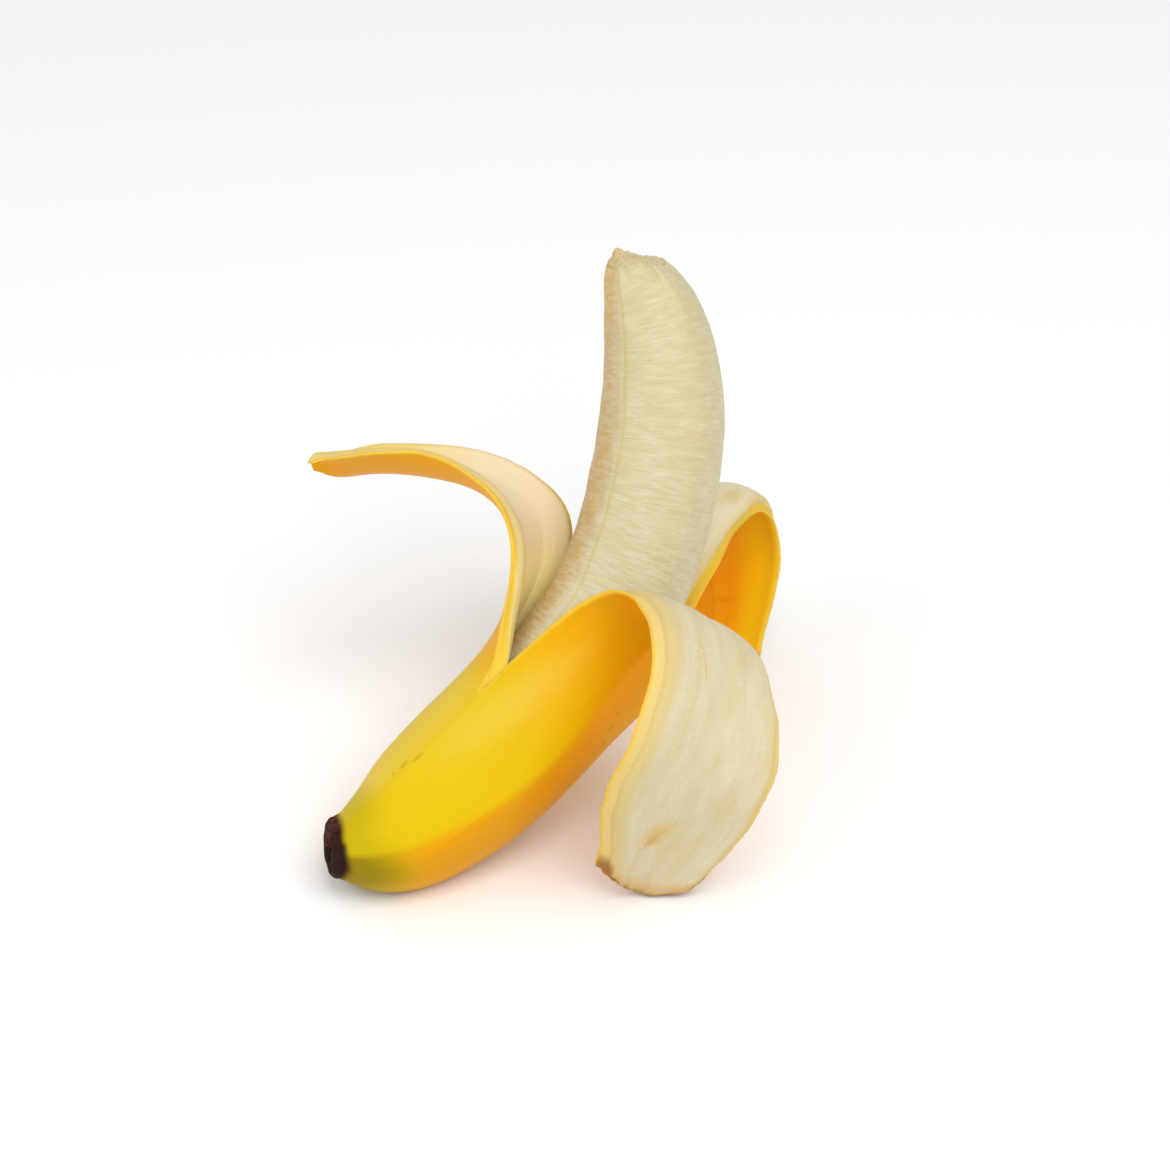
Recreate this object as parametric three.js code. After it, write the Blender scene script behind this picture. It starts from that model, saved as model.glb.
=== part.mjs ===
// A peeled banana that stands by itself: the lower third is still in its skin, and three
// strips of skin fold outwards round the bare flesh.  Two solids: the peel and the flesh.
// Millimetres, +Z up, +X across and +Y to the back.  The origin is on the ground, under the
// middle of the banana's box.
import * as THREE from "three";
import { mergeVertices } from "three/addons/utils/BufferGeometryUtils.js";

// ---------------------------------------------------------------- driving dimensions
// The banana's centre line lies in one tilted plane.  It starts at the nub's end face.
const PLANE_NORMAL = [0.281, -0.811, 0.511];
const LEVEL_START = [0.941, 0.337, 0.018];
const START_HEADING = -8.5; // degrees, in the plane, from LEVEL_START
const SPINE_BENDS = [
  { from: 0, to: 30, turn: 34.5 },
  { from: 25, to: 100, turn: 15 },
  { from: 80, to: 140, turn: 26 },
  { from: 130, to: 205, turn: 35 },
];
const SPINE_LENGTH = 210;
const GROUND = -13.9; // height of the ground below the nub's centre
const BOX_CENTRE = [59.56, 46.3]; // of the whole banana, from the nub's centre

// Flesh
const FLESH_RADIUS = 17.2;
const FLESH_START = 6.3;
const FLESH_END = 197.5;
const FLESH_COLUMNS = 30;
const ROUNDED_FROM = 2.5; // where the rounded lower end would close
const ROUNDED_LENGTH = 50;
const TAPER_FROM = 138;
const TAPER_LENGTH = 67;
const BREAK_RISE = 5; // the broken end has its peak to one side
const BREAK_SIDE = 100; // degrees round the centre line
const BREAK_PEAK_AT = 0.45; // of the radius
const BREAK_LEVEL = 0.6; // this far from the peak, in radii, it is level
const BREAK_RELIEF = 0.6;
const BREAK_RIPPLES = 9; // radians of relief across the radius
const BREAK_REACH = 18;
const BREAK_RINGS = [0.8, 0.5, 0.25];

// Skin
const PEEL_THICKNESS = 3.5;
const GAP = 0.3;
const NUB_RADIUS = 7.6;
const NUB_BLEND = 1.5;
const NUB_RELIEF = 0.35;
const NUB_LENGTH = 5;
const NUB_HOLLOW = 1.2;
const NUB_RING = 0.7; // of the radius: the rim of the hollow
const HOLLOW_RING = 0.5;

// Skin and flesh have five flat faces.  The faceting is how far, for a unit pentagon's
// difference from its mean radius, the surface follows it.
const FACES = 5;
const PENTAGON_MEAN = 0.87;
const RIDGE_AT = -20; // degrees
const SKIN_FACETING = 6;
const FLESH_FACETING = 3;
const FACES_FROM = 6;
const FACES_FULL = 28;

// The skin is torn along three lines: an angle round the centre line, and where it starts.
const TEARS = {
  leftFront: { angle: 56, start: 59 },
  frontBack: { angle: -86, start: 66 },
  backLeft: { angle: -200, start: 59 },
};
const TEAR_GAP = 0.6;
const TEAR_OPENING = 5;
const RAGGED = 0.35;
const RAGGED_WAVES = [1.9, 0.63]; // radians for each millimetre

// A strip keeps to the tube up to "leaves".  From there its middle line folds outwards, sways
// sideways and rolls, by bends measured along it.  Its half widths on the low and the high side
// start at the tears and go through [distance, width].  curl is the curve across: 1 is the
// tube's.  Each corner of its end is cut back by "cut".
const STRIPS = {
  left: {
    low: { tear: "leftFront", round: 0, cut: -1, widths: [[25, 11.9], [74, 12], [112, 3.2]] },
    high: {
      tear: "backLeft",
      round: 360,
      cut: 6.2,
      widths: [[22, 16.6], [50, 26.4], [80, 27.8], [112, 6.8]],
    },
    middle: 107,
    leaves: 59,
    length: 112,
    fold: [
      { from: 0, to: 35, turn: 24.7 },
      { from: 25, to: 70, turn: 84.5 },
      { from: 60, to: 105, turn: 29.1 },
    ],
    roll: [
      { from: 0, to: 50, turn: 21 },
      { from: 30, to: 75, turn: -28.5 },
      { from: 60, to: 105, turn: -26.6 },
    ],
    sway: [
      { from: 0, to: 60, turn: -16.2 },
      { from: 50, to: 105, turn: -32.2 },
    ],
    curl: [[5, 1], [25, 0.62], [55, 0.66], [95, 0.66]],
    columns: 11,
  },
  front: {
    low: { tear: "frontBack", round: 0, cut: 8.1, widths: [[25, 17.4], [71, 14], [149, 14.9]] },
    high: {
      tear: "leftFront",
      round: 0,
      cut: 2.9,
      widths: [[25, 23.8], [71, 26], [103, 31.6], [165, 11.2]],
    },
    middle: -21,
    leaves: 66,
    length: 149,
    fold: [
      { from: 0, to: 45, turn: 1.7 },
      { from: 20, to: 75, turn: 126.9 },
      { from: 60, to: 115, turn: 82.3 },
    ],
    roll: [
      { from: 0, to: 50, turn: -6.3 },
      { from: 30, to: 75, turn: -3.7 },
      { from: 60, to: 105, turn: -28.7 },
    ],
    sway: [
      { from: 0, to: 60, turn: -6.6 },
      { from: 50, to: 105, turn: -37.4 },
    ],
    curl: [[5, 1], [58, -0.22], [95, 0.27]],
    columns: 14,
  },
  back: {
    low: { tear: "backLeft", round: 0, cut: -1, widths: [[30, 14.5], [75, 19.1], [131, 8.7]] },
    high: { tear: "frontBack", round: 0, cut: -1, widths: [[30, 17.6], [75, 23], [131, 14.7]] },
    middle: -152,
    leaves: 78,
    length: 131,
    fold: [
      { from: 0, to: 60, turn: -7.5 },
      { from: 29, to: 90, turn: 88.6 },
      { from: 75, to: 125, turn: 41.3 },
    ],
    roll: [
      { from: 0, to: 60, turn: 1.2 },
      { from: 30, to: 90, turn: 82.6 },
      { from: 75, to: 120, turn: -58.5 },
    ],
    sway: [
      { from: 20, to: 80, turn: 0.5 },
      { from: 50, to: 105, turn: -46.6 },
    ],
    curl: [[20, 1], [72, -1.77], [118, -0.19]],
    columns: 12,
  },
};
const RELAX = 15; // over this length a strip loses the banana's own curve
const CORNER_REACH = 25;
const STEP = 1; // between the worked-out points of a curve
const NUB_ROWS = 6;
const NUB_ROWS_TO = 8;
const ROW_EVERY = 3.6;
const FLESH_ROW_EVERY = 4.3;

// ---------------------------------------------------------------- curves
const radians = THREE.MathUtils.degToRad;
const lerp = THREE.MathUtils.lerp;

/** 0 before from, 1 after to, and smooth between them. */
const ramp = (from, to, x) => THREE.MathUtils.smoothstep(x, from, to);

/** The turn made up to x, in radians. */
const turned = (bends, x) =>
  bends.reduce((sum, b) => sum + radians(b.turn) * ramp(b.from, b.to, x), 0);

/** The turn for each millimetre at x. */
const bendAt = (bends, x) =>
  (turned(bends, x + STEP / 4) - turned(bends, x - STEP / 4)) / (STEP / 2);

/** A value that goes smoothly through [x, value] knots. */
function through(knots, x) {
  const next = knots.findIndex((k) => k[0] >= x);
  if (next === 0) return knots[0][1];
  if (next < 0) return knots.at(-1)[1];
  const [a, b] = [knots[next - 1], knots[next]];
  return lerp(a[1], b[1], ramp(a[0], b[0], x));
}

/** from, ..., to in equal steps no longer than every. */
function spaced(from, to, every) {
  const count = Math.ceil((to - from) / every - 1e-9);
  return Array.from({ length: count + 1 }, (_, i) => lerp(from, to, i / count));
}

const PLANE = (() => {
  const normal = new THREE.Vector3(...PLANE_NORMAL).normalize();
  const level = new THREE.Vector3(...LEVEL_START);
  level.addScaledVector(normal, -normal.dot(level)).normalize();
  return { normal, level, rise: new THREE.Vector3().crossVectors(normal, level) };
})();

/** The direction in the banana's plane at this heading. */
function heading(angle) {
  const along = PLANE.level.clone().multiplyScalar(Math.cos(angle));
  return along.addScaledVector(PLANE.rise, Math.sin(angle));
}

const SPINE_POINTS = (() => {
  const points = [new THREE.Vector3()];
  for (let s = 0; s < SPINE_LENGTH; s += STEP) {
    const along = heading(radians(START_HEADING) + turned(SPINE_BENDS, s + STEP / 2));
    points.push(points.at(-1).clone().addScaledVector(along, STEP));
  }
  return points;
})();

/** Centre line: the place, the way along it and the way to the inside of the curve. */
function spineAt(s) {
  const i = Math.min(Math.floor(s / STEP), SPINE_POINTS.length - 2);
  const angle = radians(START_HEADING) + turned(SPINE_BENDS, s);
  return {
    place: SPINE_POINTS[i].clone().lerp(SPINE_POINTS[i + 1], s / STEP - i),
    along: heading(angle),
    inside: heading(angle + Math.PI / 2),
  };
}

/** The way out of the centre line at an angle round it, in degrees. */
function outward(spine, angle) {
  const out = PLANE.normal.clone().multiplyScalar(Math.cos(radians(angle)));
  return out.addScaledVector(spine.inside, Math.sin(radians(angle)));
}

const tubePoint = (s, angle, radius) => {
  const spine = spineAt(s);
  return spine.place.addScaledVector(outward(spine, angle), radius);
};

// ---------------------------------------------------------------- sections
/** A pentagon's radius less its mean: highest on the ridges, lowest in mid face. */
function faceting(angle) {
  const face = 360 / FACES;
  const off = THREE.MathUtils.euclideanModulo(angle - RIDGE_AT, face) - face / 2;
  return Math.cos(radians(face / 2)) / Math.cos(radians(off)) - PENTAGON_MEAN;
}

const facesGrown = (s) => ramp(FACES_FROM, FACES_FULL, s);

function fleshRadius(s) {
  const rounded = THREE.MathUtils.clamp((s - ROUNDED_FROM) / ROUNDED_LENGTH, 0, 1);
  const taper = Math.max((s - TAPER_FROM) / TAPER_LENGTH, 0);
  return FLESH_RADIUS * Math.sqrt(1 - (1 - rounded) ** 2) * Math.sqrt(1 - taper ** 2);
}

const fleshSurface = (s, angle) =>
  fleshRadius(s) + FLESH_FACETING * faceting(angle) * facesGrown(s);

/** The outside of the closed skin, with the nub's rough end. */
function skinSurface(s, angle) {
  const skin = fleshRadius(s) + GAP + PEEL_THICKNESS;
  const either = Math.exp(skin / NUB_BLEND) + Math.exp(NUB_RADIUS / NUB_BLEND);
  const lumps = Math.sin(radians(angle * 4 + 30)) + Math.sin(radians(angle * 7 + 80));
  const nub = NUB_RELIEF * lumps * (1 - ramp(NUB_LENGTH / 2, NUB_LENGTH, s));
  return NUB_BLEND * Math.log(either) + SKIN_FACETING * faceting(angle) * facesGrown(s) + nub;
}

const onGround = (point) => point.setZ(Math.max(point.z, GROUND));

// ---------------------------------------------------------------- strips
/** Works out a strip's middle line and its frame: along, out of the skin, and across. */
function middleLine(strip) {
  const start = spineAt(strip.leaves);
  const radius = fleshRadius(strip.leaves) + GAP + PEEL_THICKNESS / 2;
  const angle = radians(strip.middle);
  const out = outward(start, strip.middle);
  const place = start.place.addScaledVector(out, radius);
  let frame = { place, along: start.along, out, across: out.clone().cross(start.along) };
  const frames = [frame];
  let s = strip.leaves;
  for (let d = STEP / 2; d < strip.length + STEP; d += STEP) {
    const bend = bendAt(SPINE_BENDS, s);
    const stretch = 1 - bend * radius * Math.sin(angle);
    const own = (bend * Math.sin(angle) * (1 - ramp(0, RELAX, d))) / stretch;
    const fold = own + bendAt(strip.fold, d);
    const sway = (bend * Math.cos(angle)) / stretch + bendAt(strip.sway, d);
    frame = advanced(frame, fold, sway, bendAt(strip.roll, d));
    frames.push(frame);
    s += STEP / stretch;
  }
  return { radius, frames };
}

function advanced(frame, fold, sway, roll) {
  const along = frame.along.clone().addScaledVector(frame.out, STEP * fold);
  along.addScaledVector(frame.across, STEP * sway);
  const between = frame.along.clone().add(along).normalize();
  along.normalize();
  const out = frame.out.clone().addScaledVector(frame.along, -STEP * fold);
  out.addScaledVector(frame.across, STEP * roll);
  out.addScaledVector(along, -along.dot(out)).normalize();
  const place = frame.place.clone().addScaledVector(between, STEP);
  return { place, along, out, across: out.clone().cross(along) };
}

function frameAt(line, distance) {
  const i = Math.min(Math.floor(distance / STEP), line.frames.length - 2);
  const mix = distance / STEP - i;
  const [a, b] = [line.frames[i], line.frames[i + 1]];
  return {
    place: a.place.clone().lerp(b.place, mix),
    out: a.out.clone().lerp(b.out, mix).normalize(),
    across: a.across.clone().lerp(b.across, mix).normalize(),
  };
}

/** A torn edge's angle, in the strip's own turn of the circle. */
const tearAngle = (side) => TEARS[side.tear].angle + side.round;

/** The half width of a strip on one side, at this distance along its middle line. */
function halfWidth(strip, side, radius, distance) {
  const first = radius * radians(Math.abs(tearAngle(side) - strip.middle));
  const [short, long] = RAGGED_WAVES;
  const ragged = Math.sin(distance * short + first) * Math.sin(distance * long + 2 * first);
  const torn = strip.leaves + distance - TEARS[side.tear].start;
  const width = through([[0, first], ...side.widths], distance);
  return width + (RAGGED * ragged - TEAR_GAP) * ramp(0, TEAR_OPENING, torn);
}

/** A point of a strip that has left the tube, offset from the middle of the skin. */
function stripPoint(strip, line, distance, share, offset) {
  const low = -halfWidth(strip, strip.low, line.radius, distance);
  const high = halfWidth(strip, strip.high, line.radius, distance);
  const side = lerp(low, high, share);
  const corner = share < 0.5 ? strip.low : strip.high;
  const cut = corner.cut * (2 * share - 1) ** 2;
  const reach = ramp(strip.length - CORNER_REACH, strip.length, distance);
  const frame = frameAt(line, distance - cut * reach);
  const curve = through(strip.curl, distance) / line.radius;
  const turn = curve * side;
  const flat = Math.abs(turn) < 1e-6;
  const across = flat ? side : Math.sin(turn) / curve;
  const drop = flat ? 0 : (1 - Math.cos(turn)) / curve;
  return frame.place
    .addScaledVector(frame.across, across + offset * Math.sin(turn))
    .addScaledVector(frame.out, offset * Math.cos(turn) - drop);
}

// ---------------------------------------------------------------- surfaces
/** Two triangles for each square of a grid of points, wound by rows, then columns. */
function gridTriangles(rows) {
  const triangles = [];
  for (let i = 0; i + 1 < rows.length; i++) {
    for (let j = 0; j + 1 < rows[i].length; j++) {
      const [a, b] = [rows[i][j], rows[i][j + 1]];
      const [c, d] = [rows[i + 1][j + 1], rows[i + 1][j]];
      triangles.push([a, b, c], [a, c, d]);
    }
  }
  return triangles.filter(([a, b, c]) => a !== b && b !== c && c !== a);
}

const flipped = (triangles) => triangles.map(([a, b, c]) => [a, c, b]);

function closedGeometry(triangles) {
  const positions = triangles.flat().flatMap((p) => [p.x, p.y, p.z]);
  const loose = new THREE.BufferGeometry();
  loose.setAttribute("position", new THREE.Float32BufferAttribute(positions, 3));
  const geometry = mergeVertices(loose, 1e-3);
  geometry.translate(-BOX_CENTRE[0], -BOX_CENTRE[1], -GROUND);
  geometry.computeVertexNormals();
  return geometry;
}

// ---------------------------------------------------------------- peel
/** The rows of the closed tube, shared by all strips, up to where the last one leaves it. */
const TUBE_ROWS = (() => {
  const starts = Object.values(TEARS).map((t) => t.start);
  const leaves = Object.values(STRIPS).map((s) => s.leaves);
  const marks = [...new Set([NUB_ROWS_TO, ...starts, ...leaves])].sort((a, b) => a - b);
  const rows = spaced(0, NUB_ROWS_TO, NUB_ROWS_TO / NUB_ROWS);
  marks.slice(1).forEach((to, i) => rows.push(...spaced(marks[i], to, ROW_EVERY).slice(1)));
  return rows;
})();

/** The angle of a column on the tube at s, drawn back from a tear that has opened. */
function columnAngle(strip, line, s, share) {
  const low = tearAngle(strip.low);
  const high = tearAngle(strip.high);
  const gap = (side) =>
    (TEAR_GAP / line.radius) * ramp(0, TEAR_OPENING, s - TEARS[side.tear].start);
  const drawn = (1 - share) * gap(strip.low) - share * gap(strip.high);
  return low + (high - low) * share + THREE.MathUtils.radToDeg(drawn);
}

/** One face of a strip with its third of the tube, as rows of points. */
function stripFace(strip, line, outer) {
  const shares = Array.from({ length: strip.columns + 1 }, (_, j) => j / strip.columns);
  const surface = outer ? skinSurface : (s, angle) => fleshSurface(s, angle) + GAP;
  const onTube = TUBE_ROWS.filter((s) => s <= strip.leaves && (outer || s > FLESH_START));
  if (!outer) onTube.unshift(FLESH_START - GAP);
  const rows = onTube.map((s) =>
    shares.map((share) => {
      const angle = columnAngle(strip, line, s, share);
      return onGround(tubePoint(s, angle, surface(s, angle)));
    }),
  );
  const faces = outer ? SKIN_FACETING : FLESH_FACETING;
  const skin = outer ? PEEL_THICKNESS / 2 : -PEEL_THICKNESS / 2;
  for (const distance of spaced(0, strip.length, ROW_EVERY).slice(1)) {
    const row = shares.map((share) => {
      const angle = lerp(tearAngle(strip.low), tearAngle(strip.high), share);
      const offset = skin + faces * faceting(angle);
      return onGround(stripPoint(strip, line, distance, share, offset));
    });
    rows.push(row);
  }
  return rows;
}

/** The closing disc of a strip's share of the tube: a ring and the middle point. */
function stripCap(row, centre, ring) {
  return [row.map(() => centre), ring, row];
}

/** The torn wall between the outer and the inner face, along one side of a strip. */
function tornWall(outer, inner, tearStart, column) {
  const from = TUBE_ROWS.indexOf(tearStart);
  const skipped = outer.length - inner.length;
  const outside = outer.slice(from).map((row) => row.at(column));
  const inside = inner.slice(from - skipped).map((row) => row.at(column));
  return gridTriangles([outside, inside]);
}

function stripTriangles(strip) {
  const line = middleLine(strip);
  const outer = stripFace(strip, line, true);
  const inner = stripFace(strip, line, false);
  const shrunk = (row, centre, share) => row.map((p) => centre.clone().lerp(p, share));
  const nubCentre = tubePoint(NUB_HOLLOW, 0, 0);
  const hollowCentre = tubePoint(FLESH_START - GAP, 0, 0);
  const nubCap = stripCap(outer[0], nubCentre, shrunk(outer[0], nubCentre, NUB_RING));
  const hollowCap = stripCap(inner[0], hollowCentre, shrunk(inner[0], hollowCentre, HOLLOW_RING));
  return [
    ...flipped(gridTriangles(nubCap)),
    ...flipped(gridTriangles(outer)),
    ...gridTriangles(hollowCap),
    ...gridTriangles(inner),
    ...flipped(tornWall(outer, inner, TEARS[strip.low.tear].start, 0)),
    ...tornWall(outer, inner, TEARS[strip.high.tear].start, -1),
    ...gridTriangles([inner.at(-1), outer.at(-1)]),
  ];
}

// ---------------------------------------------------------------- flesh
/** How far the broken end stands above or below its mean level: a peak off its middle. */
function breakRise(angle, share) {
  const off = radians(angle - BREAK_SIDE);
  const away = Math.hypot(share * Math.cos(off) - BREAK_PEAK_AT, share * Math.sin(off));
  const crumbs = Math.sin(radians(3 * angle + 40)) + Math.sin(radians(8 * angle));
  const relief = share * crumbs + Math.cos(BREAK_RIPPLES * share);
  return BREAK_RISE * (BREAK_LEVEL - away) + BREAK_RELIEF * relief;
}

function fleshTriangles() {
  const angles = spaced(0, 360, 360 / FLESH_COLUMNS);
  const levels = spaced(FLESH_START, FLESH_END, FLESH_ROW_EVERY);
  const rows = levels.map((level) => {
    const torn = ramp(FLESH_END - BREAK_REACH, FLESH_END, level);
    return angles.map((angle) => {
      const s = level + torn * breakRise(angle % 360, 1);
      return onGround(tubePoint(s, angle % 360, fleshSurface(level, angle % 360)));
    });
  });
  const base = tubePoint(FLESH_START, 0, 0);
  rows.unshift(angles.map(() => base));
  const middle = tubePoint(FLESH_END + breakRise(0, 0), 0, 0);
  for (const share of BREAK_RINGS) {
    rows.push(
      angles.map((angle) => {
        const radius = share * fleshSurface(FLESH_END, angle % 360);
        return tubePoint(FLESH_END + breakRise(angle % 360, share), angle % 360, radius);
      }),
    );
  }
  rows.push(angles.map(() => middle));
  return flipped(gridTriangles(rows));
}

// ---------------------------------------------------------------- the banana
const SKIN = new THREE.MeshStandardMaterial({ color: 0xeab308, roughness: 0.45, metalness: 0 });
const PALE = new THREE.MeshStandardMaterial({ color: 0xeadfae, roughness: 0.7, metalness: 0 });

function named(name, triangles, material) {
  const mesh = new THREE.Mesh(closedGeometry(triangles), material);
  mesh.name = name;
  return mesh;
}

const banana = new THREE.Group();
banana.add(named("peel", Object.values(STRIPS).flatMap(stripTriangles), SKIN));
banana.add(named("flesh", fleshTriangles(), PALE));

export default banana;
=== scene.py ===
import logging
import math
from collections.abc import Callable, Iterable
from dataclasses import dataclass, field
from enum import Enum
from typing import Any

import bmesh
import bpy
import numpy as np
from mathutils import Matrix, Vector


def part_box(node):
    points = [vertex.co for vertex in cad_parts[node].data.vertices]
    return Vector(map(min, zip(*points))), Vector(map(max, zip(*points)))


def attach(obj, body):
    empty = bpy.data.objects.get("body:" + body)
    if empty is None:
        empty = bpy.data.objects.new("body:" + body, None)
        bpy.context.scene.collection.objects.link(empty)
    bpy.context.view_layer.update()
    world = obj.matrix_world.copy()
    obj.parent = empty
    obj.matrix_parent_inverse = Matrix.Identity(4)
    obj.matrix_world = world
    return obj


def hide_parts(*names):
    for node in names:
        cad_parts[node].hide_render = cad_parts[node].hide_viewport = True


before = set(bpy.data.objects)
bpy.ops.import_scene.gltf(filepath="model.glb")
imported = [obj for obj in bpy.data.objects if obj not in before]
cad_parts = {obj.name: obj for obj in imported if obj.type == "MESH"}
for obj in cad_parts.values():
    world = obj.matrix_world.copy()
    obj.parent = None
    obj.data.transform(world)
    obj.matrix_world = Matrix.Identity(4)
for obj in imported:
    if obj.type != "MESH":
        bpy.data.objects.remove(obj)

log = logging.getLogger("banana")
Array = np.ndarray
Colour = tuple[float, float, float, float]
Knots = tuple[tuple[float, float], ...]
Parts = tuple[Array, dict[str, Array]]
Put = Callable[[Array, Array], Parts]

MILLIMETRE = 0.001  # in metres: sizes below are in millimetres, and meshes in metres
BOX_CENTRE = (59.56, 46.3)  # of the whole banana, from the nub's centre
GROUND = -13.9  # height of the ground below the nub's centre
STEP = 1.0  # between the worked-out points of a curve


# ------------------------------------------------------------------ curves
def ramp(start: float, end: float, x: Any) -> Array:
    """0 before start, 1 after end, and smooth between them."""
    t = np.clip((np.asarray(x, float) - start) / (end - start), 0, 1)
    return t * t * (3 - 2 * t)


def lerp(a: Any, b: Any, share: Any) -> Any:
    """The value that share of the way from a to b has."""
    return a + (b - a) * share


def through(knots: Knots, x: Any) -> Array:
    """A value that goes smoothly through knots.

    Args:
        knots: (x, value) pairs in order.
        x: Where the value is wanted.

    Returns:
        The values at x, held level before the first knot and after the last.
    """
    values = np.full_like(np.asarray(x, float), knots[0][1])
    for (a, low), (b, high) in zip(knots[:-1], knots[1:]):
        values = values + (high - low) * ramp(a, b, x)
    return values


def spaced(start: float, end: float, every: float) -> list[float]:
    """From start to end in equal steps no longer than every."""
    count = max(1, math.ceil((end - start) / every - 1e-9))
    return [lerp(start, end, i / count) for i in range(count + 1)]


def rounded_off(away: Array, radius: float) -> Array:
    """How far a rounded edge drops at a distance from it: its whole radius at the edge."""
    near = np.clip(1 - away / radius, 0, 1)
    return radius * (1 - np.sqrt(1 - near**2))


def waves(x: Array, y: Array, pitch: float, seed: float = 0.0) -> Array:
    """Uneven relief between about -1 and 1 that repeats nowhere on the banana.

    Args:
        x: First coordinate in millimetres.
        y: Second coordinate in millimetres.
        pitch: Usual distance between two high places.
        seed: A shift that gives another relief.

    Returns:
        One height for each point.
    """
    k = 2 * math.pi / pitch
    a = np.sin(k * (0.71 * x + 0.37 * y) + seed)
    b = np.sin(k * (-0.43 * x + 0.83 * y) + 2.1 * seed + 1.3)
    c = np.sin(k * (1.13 * x - 0.59 * y) + 0.7 * seed + 4.2)
    return (a * b + b * c + c * np.sin(k * 0.31 * (x + y) + seed)) / 1.6


@dataclass(frozen=True)
class Bend:
    """A turn spread smoothly over a stretch of a curve."""

    start: float
    end: float
    degrees: float


def turned(bends: Iterable[Bend], x: Any) -> Array:
    """The turn made up to x, in radians."""
    return sum(math.radians(b.degrees) * ramp(b.start, b.end, x) for b in bends)


def bend_at(bends: Iterable[Bend], x: Any) -> Array:
    """The turn for each millimetre at x, in radians."""
    return (turned(bends, x + STEP / 4) - turned(bends, x - STEP / 4)) / (STEP / 2)


# ------------------------------------------------------------------ the body of the fruit
@dataclass
class CentreLine:
    """The fruit's centre line: a curve in one tilted plane, from the nub's end face.

    normal is the way out of the plane, level a way along it that is nearly level, and heading the
    line's first angle from that way, in degrees.
    """

    normal: tuple[float, float, float] = (0.281, -0.811, 0.511)
    level: tuple[float, float, float] = (0.941, 0.337, 0.018)
    heading: float = -8.5
    length: float = 210
    bends: tuple[Bend, ...] = (
        Bend(0, 30, 34.5), Bend(25, 100, 15), Bend(80, 140, 26), Bend(130, 205, 35),
    )
    out_of_plane: Array = field(init=False)
    along_plane: Array = field(init=False)
    up_plane: Array = field(init=False)
    points: Array = field(init=False)

    def __post_init__(self) -> None:
        """Works out the plane's axes and the points along the line."""
        self.out_of_plane = np.array(self.normal) / np.linalg.norm(self.normal)
        level = np.array(self.level) - self.out_of_plane * (self.out_of_plane @ self.level)
        self.along_plane = level / np.linalg.norm(level)
        self.up_plane = np.cross(self.out_of_plane, self.along_plane)
        middles = np.arange(0, self.length, STEP) + STEP / 2
        steps = self.way(self.angle(middles)) * STEP
        self.points = np.vstack([np.zeros(3), np.cumsum(steps, axis=0)])

    def angle(self, run: Any) -> Array:
        """The line's heading in its plane, in radians."""
        return math.radians(self.heading) + turned(self.bends, run)

    def way(self, angle: Any) -> Array:
        """The direction in the plane at this heading."""
        level = np.multiply.outer(np.cos(angle), self.along_plane)
        return level + np.multiply.outer(np.sin(angle), self.up_plane)

    def place(self, run: Any) -> Array:
        """The point of the line this far from the nub."""
        marks = np.arange(len(self.points)) * STEP
        return np.stack([np.interp(run, marks, self.points[:, k]) for k in range(3)], -1)

    def outward(self, run: Any, degrees: Any) -> Array:
        """The way out of the line.

        Args:
            run: Distance from the nub along the line.
            degrees: The angle round the line.

        Returns:
            One direction for each place.
        """
        turn = np.radians(degrees)[..., None]
        inside = self.way(self.angle(run) + math.pi / 2)
        return np.cos(turn) * self.out_of_plane + np.sin(turn) * inside

    def around(self, run: Array, degrees: Array, radius: Array) -> Array:
        """The points this far out of the line."""
        return self.place(run) + self.outward(run, degrees) * radius[..., None]


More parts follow.
